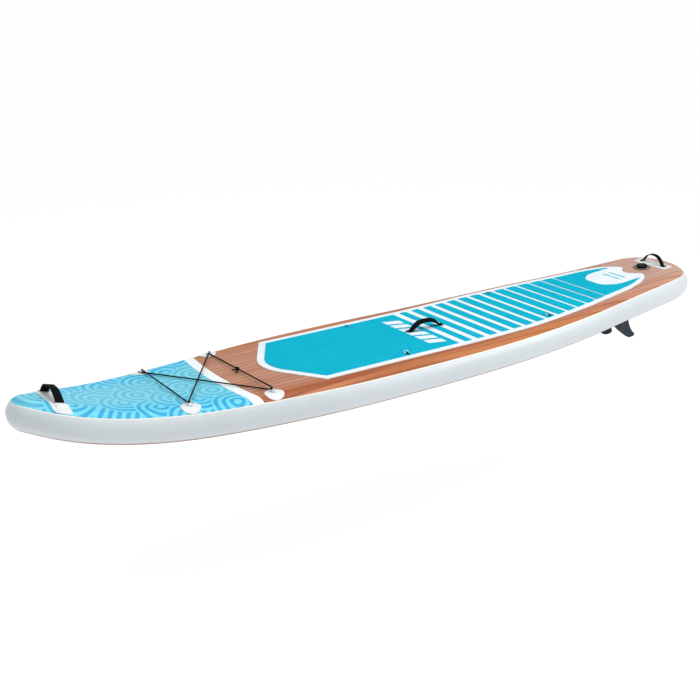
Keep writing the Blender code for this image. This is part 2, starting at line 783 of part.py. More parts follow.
def build_webbing_handle(name, handle, foot, surface, x_folds=()):
    x, half, rise, width = handle
    base = PATCH_LIFT + PATCH_THICKNESS + 2 * GAP + WEBBING / 2
    path = arch_path(x, half, rise, base, foot)
    return lay_on_deck(strip(path, Vector((1, 0, 0)), width, WEBBING), name, surface, x_folds=x_folds)


def build_handles(surfaces):
    x = NOSE_HANDLE[0]
    build_draped_patch("nose_patch", x + 0.008, from_edge_half(0.050), surfaces["white"])
    build_webbing_handle("nose_webbing", NOSE_HANDLE, 0.022, surfaces["black_cloth"],
                         (x - 0.0095, x, x + 0.0095))
    low = PATCH_LIFT + PATCH_THICKNESS + WEBBING + 5 * GAP
    for place, side in (("port", 1), ("starboard", -1)):
        edge = NOSE_HANDLE[1]
        near, far = side * (edge + 0.004), side * (edge + 0.036)
        outline = rounded([(x + 0.025, near, 0.004), (x + 0.025, far, 0.012),
                           (x - 0.025, far, 0.012), (x - 0.025, near, 0.004)])
        lay_on_deck(prism(outline, low, low + PATCH_THICKNESS), f"nose_flap_{place}", surfaces["white"],
                    x_folds=[x - 0.012, x, x + 0.012],
                    y_folds=[side * (edge + reach) for reach in (0.010, 0.016, 0.022, 0.028)])

    build_draped_patch("tail_patch", TAIL_HANDLE[0], lambda _: TAIL_PATCH_HALF, surfaces["white"])
    build_webbing_handle("tail_webbing", TAIL_HANDLE, 0.018, surfaces["black_cloth"])

    half = (GRIP_FRONT - GRIP_REAR) / 2
    middle = (GRIP_FRONT + GRIP_REAR) / 2
    foot = PAD_BASE + PAD_TOP + 2 * GAP + FOOT_HALVES[1]
    path = [Vector((middle - half - 0.02, 0, foot)), Vector((middle - half - 0.004, 0, foot))]
    radii = [FOOT_HALVES, FOOT_HALVES]
    for share in (-0.95, -0.82, -0.62, -0.35, 0.0, 0.35, 0.62, 0.82, 0.95):
        fullness = min(1.0, (1 - abs(share)) / 0.38)
        path.append(Vector((middle + half * share, 0, foot + GRIP_RISE * (1 - abs(share) ** 2.6))))
        radii.append(tuple(flat + (full - flat) * fullness for flat, full in zip(FOOT_HALVES, GRIP_HALVES)))
    path += [Vector((middle + half + 0.004, 0, foot)), Vector((middle + half + 0.02, 0, foot))]
    radii += [FOOT_HALVES, FOOT_HALVES]
    bm = bmesh.new()
    sweep_round(bm, path, radii, 10)
    lay_on_deck(bm, "center_handle", surfaces["black_cloth"])


def from_edge_half(beyond):
    """Half length of a patch whose ends stop a given way outboard of the panel's edge."""
    def half_at(x):
        normal = foot_on_side(Vector((x, panel_half(x) + 0.01)))[1]
        return panel_half(x) + beyond / normal.y
    return half_at


# ---------------------------------------------------------------- valve

def build_valve(surfaces):
    """Valve in its own frame: the deck at Z zero and the axis of the barrel on Z."""
    frame = deck_frame(VALVE_X)
    seat = GAP
    top = FLANGE + seat
    mouth = top + COLLAR_HEIGHT
    body = [
        (BORE_RADIUS, mouth), (BORE_RADIUS, -BARREL_DEPTH + 0.004), (0.009, -BARREL_DEPTH + 0.004),
        (0.009, -BARREL_DEPTH), (BARREL_RADIUS, -BARREL_DEPTH), (BARREL_RADIUS, seat),
        (FLANGE_RADIUS - 0.001, seat), (FLANGE_RADIUS, seat + 0.001), (FLANGE_RADIUS, top),
        (FLANGE_RADIUS - 0.003, top), (FLANGE_RADIUS - 0.004, top - 0.0012),
        (COLLAR_RADIUS + 0.004, top - 0.0012),
        (COLLAR_RADIUS, top), (COLLAR_RADIUS, mouth - 0.001), (COLLAR_RADIUS - 0.001, mouth)]
    finish_mesh(turned(body, 24), "valve_body", surfaces["black"], frame)

    nut_top = -SKIN - GAP
    nut = [(BARREL_RADIUS + 0.0008, nut_top), (BARREL_RADIUS + 0.0008, nut_top - 0.009),
           (0.034, nut_top - 0.009), (0.038, nut_top - 0.003), (0.038, nut_top)]
    finish_mesh(turned(nut, 24), "valve_nut", surfaces["black"], frame)

    retainer = -0.004
    disc_top = -BARREL_DEPTH - 0.0005
    stem = [(0, disc_top - 0.003), (0.014, disc_top - 0.003), (0.014, disc_top), (0.0035, disc_top),
            (0.0035, retainer - 0.0015), (0.0135, retainer - 0.0015), (0.0135, retainer), (0, retainer)]
    finish_mesh(turned(stem, 16), "valve_stem", surfaces["grey"], frame)
    button = [(0, retainer + 0.0005), (0.012, retainer + 0.0005), (0.012, retainer + 0.006),
              (0.010, retainer + 0.0075), (0.0045, retainer + 0.0075), (0.0040, retainer + 0.0055),
              (0, retainer + 0.0055)]
    finish_mesh(turned(button, 16), "valve_button", surfaces["grey"], frame)

    floor = -BARREL_DEPTH + 0.0048 + SPRING_WIRE
    roof = retainer - 0.0015 - 0.0008 - SPRING_WIRE
    steps = SPRING_TURNS * 10
    path = [Vector((0.0112 * math.cos(a), 0.0112 * math.sin(a), floor + (roof - floor) * i / steps))
            for i, a in enumerate(spread(0, 2 * math.pi * SPRING_TURNS, steps))]
    bm = bmesh.new()
    sweep_round(bm, path, [SPRING_WIRE] * len(path), 5)
    finish_mesh(bm, "valve_spring", surfaces["steel"], frame)

    lid = mouth + 0.0015
    cap = [(0, lid), (CAP_RADIUS - 0.0022, lid), (CAP_RADIUS - 0.0022, top + 0.0012),
           (CAP_RADIUS, top + 0.0012),
           (CAP_RADIUS, lid + 0.0015), (CAP_RADIUS - 0.002, lid + 0.003), (0.010, lid + 0.003),
           (0.009, lid + 0.002), (0, lid + 0.002)]
    finish_mesh(turned(cap, 24), "valve_cap", surfaces["black"], frame)

    inner = CAP_RADIUS + 0.0008
    band = turned([(inner, top + 0.0014), (inner + 0.0036, top + 0.0014),
                   (inner + 0.0036, top + 0.0034), (inner, top + 0.0034)], 24)
    strap = finish_mesh(band, "valve_strap", surfaces["black"], frame)
    arm = prism([(-0.006, -inner - 0.0018), (-0.006, -STRAP_PIVOT - 0.001), (0.006, -STRAP_PIVOT - 0.001),
                 (0.006, -inner - 0.0018)], top + 0.0016, top + 0.0030)
    combine(strap, arm, "strap_arm", "UNION", frame)


# ---------------------------------------------------------------- fins

def stacked(levels, x_shares=(0.0, 0.28, 0.62, 1.0)):
    """Solid built up of lens sections; a level is (depth, front x, rear x, half thicknesses)."""
    bm = bmesh.new()
    rings = []
    for depth, front, rear, halves in levels:
        run = [(front + (rear - front) * share, half) for share, half in zip(x_shares, halves)]
        outline = [(x, half) for x, half in run] + [(x, -half) for x, half in reversed(run)]
        rings.append([bm.verts.new((x, y, depth)) for x, y in outline])
    join_rings(bm, rings)
    bm.faces.new(rings[0])
    bm.faces.new(rings[-1])
    return bm


def blade(outline, thickness):
    """Foil levels for a planform given as (depth, front x, rear x)."""
    chord = outline[0][2] - outline[0][1]
    levels = []
    for depth, front, rear in outline:
        half = 0.5 * thickness * max((rear - front) / chord, 0.25)
        levels.append((depth, front, rear, (0.15 * half, half, 0.8 * half, 0.12 * half)))
    return levels


def build_fins(surfaces):
    frame = hull_frame(FIN_BOX_X)
    half = FIN_BOX_LENGTH / 2
    shape = [(FIN_BOX_WIDTH / 2, GAP), (FIN_BOX_WIDTH / 2, BOX_PLATE), (0.017, BOX_PLATE),
             (0.013, BOX_DEPTH)]
    section = shape + [(-y, z) for y, z in reversed(shape)]
    bm = bmesh.new()
    rings = [[bm.verts.new((x, y, z)) for y, z in section] for x in (-half, half)]
    join_rings(bm, rings)
    bm.faces.new(rings[0])
    bm.faces.new(rings[1])
    box = finish_mesh(bm, "fin_box", surfaces["grey"], frame, smooth=False)
    shape = [(SLOT_NECK, BOX_DEPTH + 0.01), (SLOT_NECK, SLOT_FLOOR), (SLOT_HALF, SLOT_FLOOR),
             (SLOT_HALF, SLOT_ROOF)]
    section = shape + [(-y, z) for y, z in reversed(shape)]
    bm = bmesh.new()
    rings = [[bm.verts.new((x, y, z)) for y, z in section] for x in (-half + 0.02, half + 0.02)]
    join_rings(bm, rings)
    bm.faces.new(rings[0])
    bm.faces.new(rings[1])
    combine(box, bm, "fin_slot", "DIFFERENCE", frame)

    key = SLOT_HALF - 0.0007
    neck = SLOT_NECK - 0.0007
    levels = [(depth, -0.098, 0.093, (half,) * 4) for depth, half in
              ((SLOT_ROOF + 0.0006, key), (SLOT_FLOOR - 0.0006, key),
               (SLOT_FLOOR - 0.0006, neck), (BOX_DEPTH + 0.0006, neck))]
    levels += blade([
        (BOX_DEPTH + 0.0012, -0.096, 0.094), (0.060, -0.073, 0.0925), (0.100, -0.043, 0.094),
        (0.140, -0.009, 0.101), (0.175, 0.026, 0.1125), (0.203, 0.058, 0.129), (0.220, 0.080, 0.144),
        (0.229, 0.094, 0.1445), (0.2345, 0.105, 0.135)], 0.0105)
    finish_mesh(stacked(levels), "center_fin", surfaces["fin_blue"], frame)

    hold = Matrix.Translation(Vector((LEVER_X, 0, LEVER_DEPTH)))
    reach = BOX_DEPTH - 0.0005 - LEVER_DEPTH
    rise = SLOT_ROOF + 0.0008 - LEVER_DEPTH
    shape = [(-0.004, rise + 0.003), (0.002, rise), (0.020, rise), (0.024, 0.0),
             (0.024, reach), (-0.002, reach),
             (-0.004, reach - 0.002)]
    bm = bmesh.new()
    rings = [[bm.verts.new((x, y, z)) for x, z in shape] for y in (-neck, neck)]
    join_rings(bm, rings)
    bm.faces.new(rings[0])
    bm.faces.new(rings[1])
    finish_mesh(bm, "fin_lever", surfaces["grey"], frame @ hold, smooth=False)

    for place, side in (("port", 1), ("starboard", -1)):
        frame = hull_frame(SIDE_FIN_X, side * SIDE_FIN_Y) @ Matrix.Rotation(side * SIDE_FIN_TOE, 4, "Z")
        levels = [(GAP, -0.066, 0.064, (0.006, 0.014, 0.012, 0.005)),
                  (0.0028, -0.064, 0.062, (0.005, 0.0125, 0.0105, 0.004))]
        levels += blade([
            (0.006, -0.055, 0.055), (0.030, -0.044, 0.0575), (0.058, -0.030, 0.061), (0.080, -0.014, 0.066),
            (0.094, 0.001, 0.0685), (0.101, 0.014, 0.066), (0.1055, 0.027, 0.056)], 0.0085)
        finish_mesh(stacked(levels), f"side_fin_{place}", surfaces["black"], frame)


def main():
    clear_scene()
    surfaces = {
        "deck": material("wood_print_deck", (0.62, 0.36, 0.24), 0.45),
        "bottom": material("brown_bottom", (0.50, 0.27, 0.17), 0.4),
        "rail": material("white_rail", (0.80, 0.85, 0.88), 0.4),
        "cloth": material("drop_stitch_cloth", (0.85, 0.83, 0.78), 0.8),
        "pad_white": material("pad_white_foam", (0.88, 0.88, 0.92), 0.8),
        "pad_cyan": material("pad_cyan_foam", (0.01, 0.55, 0.68), 0.8),
        "white": material("white_reinforcement", (0.84, 0.85, 0.84), 0.5),
        "black": material("black_plastic", (0.015, 0.015, 0.017), 0.4),
        "black_cloth": material("black_webbing", (0.010, 0.010, 0.012), 0.85),
        "grey": material("grey_plastic", (0.30, 0.31, 0.32), 0.45),
        "steel": material("stainless_steel", (0.72, 0.73, 0.74), 0.25, 1.0),
        "cord": material("black_bungee", (0.02, 0.02, 0.022), 0.8),
        "fin_blue": material("blue_grey_fin", (0.045, 0.065, 0.09), 0.4),
    }
    build_hull(surfaces)
    build_pad(surfaces)
    frames = build_deck_rings(surfaces)
    build_bungee(frames, surfaces["cord"])
    build_pad_rings(surfaces)
    build_handles(surfaces)
    build_valve(surfaces)
    build_fins(surfaces)


main()
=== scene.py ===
"""Looks of the inflatable stand up paddleboard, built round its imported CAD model.

Frame as in the CAD: metres, +X to the nose, +Y to port, +Z up, origin on the hull bottom at mid length.
Deck pieces are drawn in deck coordinates (x, y, height above the deck) and then laid on the deck.
"""
import json
import math

import bmesh
import bpy
from mathutils import Matrix, Quaternion, Vector

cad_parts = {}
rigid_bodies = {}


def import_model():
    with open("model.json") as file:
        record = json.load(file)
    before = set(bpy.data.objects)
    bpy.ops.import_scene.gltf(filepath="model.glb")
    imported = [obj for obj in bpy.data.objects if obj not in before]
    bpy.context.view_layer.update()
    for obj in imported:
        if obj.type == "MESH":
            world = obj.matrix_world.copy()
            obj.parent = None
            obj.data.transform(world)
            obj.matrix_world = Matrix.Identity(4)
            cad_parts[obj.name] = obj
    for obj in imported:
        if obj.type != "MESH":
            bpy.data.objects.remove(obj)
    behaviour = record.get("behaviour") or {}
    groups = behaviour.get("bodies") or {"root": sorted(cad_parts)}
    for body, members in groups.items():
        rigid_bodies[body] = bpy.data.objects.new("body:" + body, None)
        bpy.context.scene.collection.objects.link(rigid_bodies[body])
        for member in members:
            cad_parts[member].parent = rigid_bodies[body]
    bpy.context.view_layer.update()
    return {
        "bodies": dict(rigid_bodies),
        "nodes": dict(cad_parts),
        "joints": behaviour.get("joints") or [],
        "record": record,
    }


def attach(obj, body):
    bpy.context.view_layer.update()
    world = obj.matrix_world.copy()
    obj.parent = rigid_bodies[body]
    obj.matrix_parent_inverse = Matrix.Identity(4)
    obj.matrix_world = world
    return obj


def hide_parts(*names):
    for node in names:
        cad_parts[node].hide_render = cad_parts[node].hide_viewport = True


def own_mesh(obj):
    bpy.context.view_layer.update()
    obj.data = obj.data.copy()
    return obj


# Hull, as in the CAD model
LENGTH = 3.81
WIDTH = 0.82
THICKNESS = 0.15
RAIL_RADIUS = THICKNESS / 2
PANEL_SHAPE = (
    (-1.0, 0.0), (-0.995, 0.2), (-0.98, 0.365), (-0.945, 0.5), (-0.85, 0.58), (-0.705, 0.685),
    (-0.54, 0.825), (-0.35, 0.925), (-0.145, 0.975), (0.065, 1.0), (0.275, 0.98), (0.47, 0.88),
    (0.645, 0.74), (0.79, 0.565), (0.905, 0.36), (0.975, 0.14), (1.0, 0.0))
STEPS_PER_SPAN = 6
PRINT_WRAP = math.radians(42.5)
NOSE_KICK, NOSE_START, NOSE_POWER = 0.15, 0.65, 3.7
TAIL_KICK, TAIL_START, TAIL_POWER = 0.079, -0.2, 1.7

SEAM_HALF, SEAM_RISE = 0.036, 0.0003

SKIN, RAIL_SKIN = 0.0015, 0.002
VALVE_HOLE_DEPTH = 0.04

# Deck print
PLANK_WIDTH = 0.035
STRIPE_X, STRIPE_HALF = 0.960, 0.024
RING_PITCH, RING_REACH = 0.034, 0.112
RING_ROWS, RING_COLUMNS = 9, 4

# Pad
PAD_HALF = 0.302
PAD_MARGIN = 0.008
PAD_BORDER = 0.034
PAD_BASE = 0.003
PAD_TOP = 0.0055
PAD_TIP, PAD_TIP_RADIUS, PAD_TIP_ANGLE = 0.718, 0.2, math.radians(32)
STRIPE_FIRST, STRIPE_PITCH, STRIPE_COUNT = -0.217, 0.0763, 14
STRIPE_WIDEST, STRIPE_NARROWEST = 0.038, 0.010
PAD_TAIL_START = -1.38
NOTCH_CENTRE, NOTCH_RADIUS = -1.612, 0.06
PANEL_TIP, PANEL_HALF = -1.314, 0.1175
GROOVE_PITCH = 0.010
GROOVE_DEPTH = 0.0013

# Fittings
SIDES = (("port", 1), ("starboard", -1))
SHEET_LOW = 0.0003
PATCH_RADIUS, PATCH_BEYOND = 0.043, 0.012
PATCH_TOP = 0.0024
RING_INBOARD, RING_TILT = 0.014, math.radians(16)
RING_SIZE, RING_ROOM, RING_TAB = (0.030, 0.024, 0.0022), 0.0029, 0.0014
RING_PLACES = (("front_port", 1.208, 1), ("front_starboard", 1.208, -1),
               ("rear_port", 0.838, 1), ("rear_starboard", 0.838, -1))
TIE_SIZE, TIE_ROOM, TIE_TAB, TIE_LEAN = (0.026, 0.022, 0.0018), 0.0024, 0.0012, math.radians(25)
TIE_PLACES = (("front_port", 0.094, 0.250), ("front_starboard", 0.094, -0.250),
              ("rear_port", -0.790, 0.236), ("rear_starboard", -0.790, -0.236))
LAY_GAP = 0.0008
CORD_RADIUS, CORD_GAP = 0.0033, 0.0009
KNOT_TURNS, KNOT_HALF, KNOT_RADIUS = 2.2, 0.0105, 0.0056
NOSE_HANDLE = (1.708, 0.086, 0.050, 0.038, 0.022)
TAIL_HANDLE = (-1.762, 0.070, 0.048, 0.025, 0.018)
TAIL_PATCH_HALF = 0.112
PATCH_WIDTH = 0.068
WEBBING = 0.003
GRIP_FRONT, GRIP_REAR, GRIP_RISE = -0.112, -0.280, 0.037
GRIP_HALVES, FOOT_HALVES = (0.0165, 0.0105), (0.018, 0.0015)
VALVE_X, VALVE_HOLE = -1.676, 0.0235
SPRING_LOW, SPRING_HIGH = -0.0292, -0.0063
SPRING_RADIUS, SPRING_WIRE, SPRING_TURNS = 0.0112, 0.0007, 4
FIN_BOX_X = -1.49
SIDE_FIN_X, SIDE_FIN_Y, SIDE_FIN_TOE = -1.275, 0.12, math.radians(3)
FIN_THICKNESS, SIDE_FIN_THICKNESS = 0.0105, 0.0085

# Stage
FLOOR_HEIGHT = -0.75
LAMPS = (("overhead", (0.3, 0.6, 4.2), 5.0, 190), ("key", (-3.6, 3.0, 2.6), 1.6, 75))
CAMERA_TURN, CAMERA_RISE, CAMERA_ROLL = math.radians(146.54), math.radians(19.37), math.radians(-0.94)
CAMERA_BACK, CAMERA_RIGHT, CAMERA_UP = 6.22, -0.205, 0.0783
CAMERA_LENS = 66.05


# ---------------------------------------------------------------- outline, rocker and deck

def catmull_rom(before, start, end, after, t):
    """Point at t between start and end on the smooth curve through the four points."""
    return 0.5 * (2 * start + (end - before) * t
                  + (2 * before - 5 * start + 4 * end - after) * t ** 2
                  + (3 * start - before - 3 * end + after) * t ** 3)


def smooth_line(points, steps, closed=False):
    """The smooth curve through points, with a number of steps between each pair."""
    if closed:
        line = [points[-1]] + list(points) + [points[0], points[1]]
    else:
        line = [2 * points[0] - points[1]] + list(points) + [2 * points[-1] - points[-2]]
    curve = []
    for i in range(1, len(line) - 2):
        curve += [catmull_rom(*line[i - 1:i + 3], step / steps) for step in range(steps)]
    return curve if closed else curve + [points[-1]]


def spread(start, end, count):
    return [start + (end - start) * i / count for i in range(count + 1)]


def side_curve():
    """Port half of the flat panel's outline, tail to nose, as plan vectors."""
    half_length = LENGTH / 2 - RAIL_RADIUS
    half_width = WIDTH / 2 - RAIL_RADIUS
    knots = [Vector((x * half_length, y * half_width)) for x, y in PANEL_SHAPE]
    line = [Vector((knots[1].x, -knots[1].y))] + knots + [Vector((knots[-2].x, -knots[-2].y))]
    curve = smooth_line(line, STEPS_PER_SPAN)
    return curve[STEPS_PER_SPAN:-STEPS_PER_SPAN]


SIDE = side_curve()
LOOP = SIDE + [Vector((p.x, -p.y)) for p in reversed(SIDE[1:-1])]
SEGMENTS = [(low.x, low.y, high.x - low.x, high.y - low.y, (high - low).length_squared)
            for low, high in zip(SIDE, SIDE[1:])]


def rocker(x):
    nose = max(x - NOSE_START, 0) / (LENGTH / 2 - NOSE_START)
    tail = max(TAIL_START - x, 0) / (LENGTH / 2 + TAIL_START)
    return NOSE_KICK * nose ** NOSE_POWER + TAIL_KICK * tail ** TAIL_POWER


def slope(x, reach=0.03):
    return (rocker(x + reach) - rocker(x - reach)) / (2 * reach)


def panel_half(x):
    for low, high in zip(SIDE, SIDE[1:]):
        if x <= high.x:
            share = max(x - low.x, 0) / max(high.x - low.x, 1e-9)
            return low.y + (high.y - low.y) * share
    return 0.0


def outward(index):
    run = LOOP[(index + 1) % len(LOOP)] - LOOP[index - 1]
    return Vector((-run.y, run.x)).normalized()


def foot_on_side(x, y):
    """Nearest point of the port side to (x, y), the outward normal there and the signed distance."""
    best = None
    for low_x, low_y, run_x, run_y, square in SEGMENTS:
        share = min(max(((x - low_x) * run_x + (y - low_y) * run_y) / square, 0), 1)
        foot_x = low_x + run_x * share
        foot_y = low_y + run_y * share
        gap = (x - foot_x) ** 2 + (y - foot_y) ** 2
        if best is None or gap < best[0]:
            best = (gap, foot_x, foot_y, -run_y, run_x)
    gap, foot_x, foot_y, normal_x, normal_y = best
    normal = Vector((normal_x, normal_y)).normalized()
    offset = Vector((x - foot_x, y - foot_y))
    if offset.dot(normal) > 1e-6:
        return Vector((foot_x, foot_y)), offset.normalized(), offset.length
    return Vector((foot_x, foot_y)), normal, offset.dot(normal)


def deck_point(x, y, height):
    """World place of a point in deck coordinates, wrapped over the rail past the panel's edge."""
    if abs(y) < panel_half(x) - 0.03:
        return Vector((x, y, THICKNESS + rocker(x) + height))
    side = -1 if y < 0 else 1
    foot, normal, beyond = foot_on_side(x, abs(y))
    if beyond <= 0:
        return Vector((x, y, THICKNESS + rocker(x) + height))
    angle = beyond / RAIL_RADIUS
    place = foot + normal * (RAIL_RADIUS + height) * math.sin(angle)
    rise = RAIL_RADIUS + (RAIL_RADIUS + height) * math.cos(angle)
    return Vector((place.x, side * place.y, rise + rocker(foot.x)))


def on_deck(point):
    return deck_point(*point)


def bend_to_deck(bm):
    """Take a shape drawn in deck coordinates to its place on the deck."""
    for vert in bm.verts:
        vert.co = on_deck(vert.co)
    return bm


def surface_frame(x, y, height):
    """Frame on the deck at a point: Z square to the surface and X pointing inboard along it."""
    side = -1 if y < 0 else 1
    normal = foot_on_side(x, abs(y))[1]
    inboard = Vector((-normal.x, -side * normal.y)) * 0.003
    along = Vector((-inboard.y, inboard.x))
    middle = deck_point(x, y, 0)
    x_axis = (deck_point(x + inboard.x, y + inboard.y, 0) - middle).normalized()
    z_axis = x_axis.cross(deck_point(x + along.x, y + along.y, 0) - middle).normalized()
    turn = Matrix((x_axis, z_axis.cross(x_axis), z_axis)).transposed().to_4x4()
    return Matrix.Translation(middle + z_axis * height) @ turn


def from_edge(x, side, beyond):
    """Deck coordinates of a point a given way outboard of the panel's edge at x."""
    half = panel_half(x)
    normal = foot_on_side(x, half + 0.01)[1]
    return x + normal.x * beyond, side * (half + normal.y * beyond)


def deck_frame(x, y=0.0, height=0.0):
    tilt = Matrix.Rotation(-math.atan(slope(x)), 4, "Y")
    return Matrix.Translation((x, y, THICKNESS + rocker(x) + height)) @ tilt


def hull_frame(x, y=0.0):
    """Frame on the hull bottom at x, with its X aft and its Z down, square to the hull."""
    tilt = Matrix.Rotation(-math.atan(slope(x)), 4, "Y")
    return Matrix.Translation((x, y, rocker(x))) @ tilt @ Matrix.Rotation(math.pi, 4, "Y")


# ---------------------------------------------------------------- materials

def linear(red, green, blue):
    """Colour for a shader from the 0 to 255 numbers of a screen colour."""
    values = [v / 255 for v in (red, green, blue)]
    return tuple(v / 12.92 if v < 0.04045 else ((v + 0.055) / 1.055) ** 2.4 for v in values) + (1.0,)


class Paint:
    """A node material; its methods add one node each and give back the node's output."""

    def __init__(self, name, roughness, metallic=0.0):
        self.material = bpy.data.materials.new(name)
        self.material.use_nodes = True
        self.tree = self.material.node_tree
        self.shader = self.tree.nodes["Principled BSDF"]
        self.shader.inputs["Metallic"].default_value = metallic
        self.put(self.shader.inputs["Roughness"], roughness)

    def put(self, socket, value):
        if isinstance(value, bpy.types.NodeSocket):
            self.tree.links.new(value, socket)
        else:
            socket.default_value = value

    def math(self, operation, *values):
        node = self.tree.nodes.new("ShaderNodeMath")
        node.operation = operation
        for socket, value in zip(node.inputs, values):
            self.put(socket, value)
        return node.outputs[0]

    def total(self, *values):
        result = values[0]
        for value in values[1:]:
            result = self.math("ADD", result, value)
        return result

    def scaled(self, value, factor, offset=0.0):
        return self.math("MULTIPLY_ADD", value, factor, offset)

    def axes(self, output):
        """The three parts of a texture coordinate, Object or UV."""
        source = self.tree.nodes.new("ShaderNodeTexCoord")
        node = self.tree.nodes.new("ShaderNodeSeparateXYZ")
        self.tree.links.new(source.outputs[output], node.inputs[0])
        return tuple(node.outputs)

    def vector(self, x, y, z=0.0):
        node = self.tree.nodes.new("ShaderNodeCombineXYZ")
        for socket, value in zip(node.inputs, (x, y, z)):
            self.put(socket, value)
        return node.outputs[0]

    def noise(self, vector, scale, detail=3.0, rough=0.55):
        node = self.tree.nodes.new("ShaderNodeTexNoise")
        node.inputs["Scale"].default_value = scale
        node.inputs["Detail"].default_value = detail
        node.inputs["Roughness"].default_value = rough
        self.tree.links.new(vector, node.inputs["Vector"])
        return node.outputs[0]

    def streaks(self, detail, *stretched):
        """Noise stretched by the number of cells in a metre given with each value."""
        place = self.vector(*[self.scaled(value, cells) for value, cells in stretched])
        return self.noise(place, 1.0, detail)

    def clipped(self, mark, *limits):
        """Keep a mark only where every (value, low, high) has risen from its low to its high."""
        for limit in limits:
            mark = self.math("MULTIPLY", mark, self.ramp(*limit))
        return mark

    def mixed_number(self, share, first, second):
        """First where the share is zero, second where it is one."""
        return self.math("MULTIPLY_ADD", share, self.math("SUBTRACT", second, first), first)

    def ramp(self, value, low, high):
        """Zero at low, one at high and a smooth rise between them."""
        node = self.tree.nodes.new("ShaderNodeMapRange")
        node.interpolation_type = "SMOOTHSTEP"
        node.inputs["From Min"].default_value = low
        node.inputs["From Max"].default_value = high
        self.tree.links.new(value, node.inputs["Value"])
        return node.outputs[0]

    def wave(self, value, pitch):
        """Sine of a length in metres, from 0 to 1 and with the given pitch."""
        turned_on = self.math("SINE", self.scaled(value, 2 * math.pi / pitch))
        return self.scaled(turned_on, 0.5, 0.5)

    def mix(self, share, first, second):
        node = self.tree.nodes.new("ShaderNodeMix")
        node.data_type = "RGBA"
        self.put(node.inputs[0], share)
        self.put(node.inputs[6], first)
        self.put(node.inputs[7], second)
        return node.outputs[2]

    def colour(self, value):
        self.put(self.shader.inputs["Base Color"], value)
        return self

    def bump(self, height, distance):
        """Relief of the given height in metres where the height value is one."""
        node = self.tree.nodes.new("ShaderNodeBump")
        node.inputs["Distance"].default_value = distance
        self.tree.links.new(height, node.inputs["Height"])
        self.tree.links.new(node.outputs[0], self.shader.inputs["Normal"])
        return self

    def gloss(self, specular, coat=0.0, coat_roughness=0.2):
        self.shader.inputs["Specular IOR Level"].default_value = specular
        self.shader.inputs["Coat Weight"].default_value = coat
        self.shader.inputs["Coat Roughness"].default_value = coat_roughness
        return self


def cloth_relief(paint, x, y, pitch=0.0016):
    """Faint grid of the woven base that shows through coated cloth."""
    return paint.math("MULTIPLY", paint.wave(x, pitch), paint.wave(y, pitch))


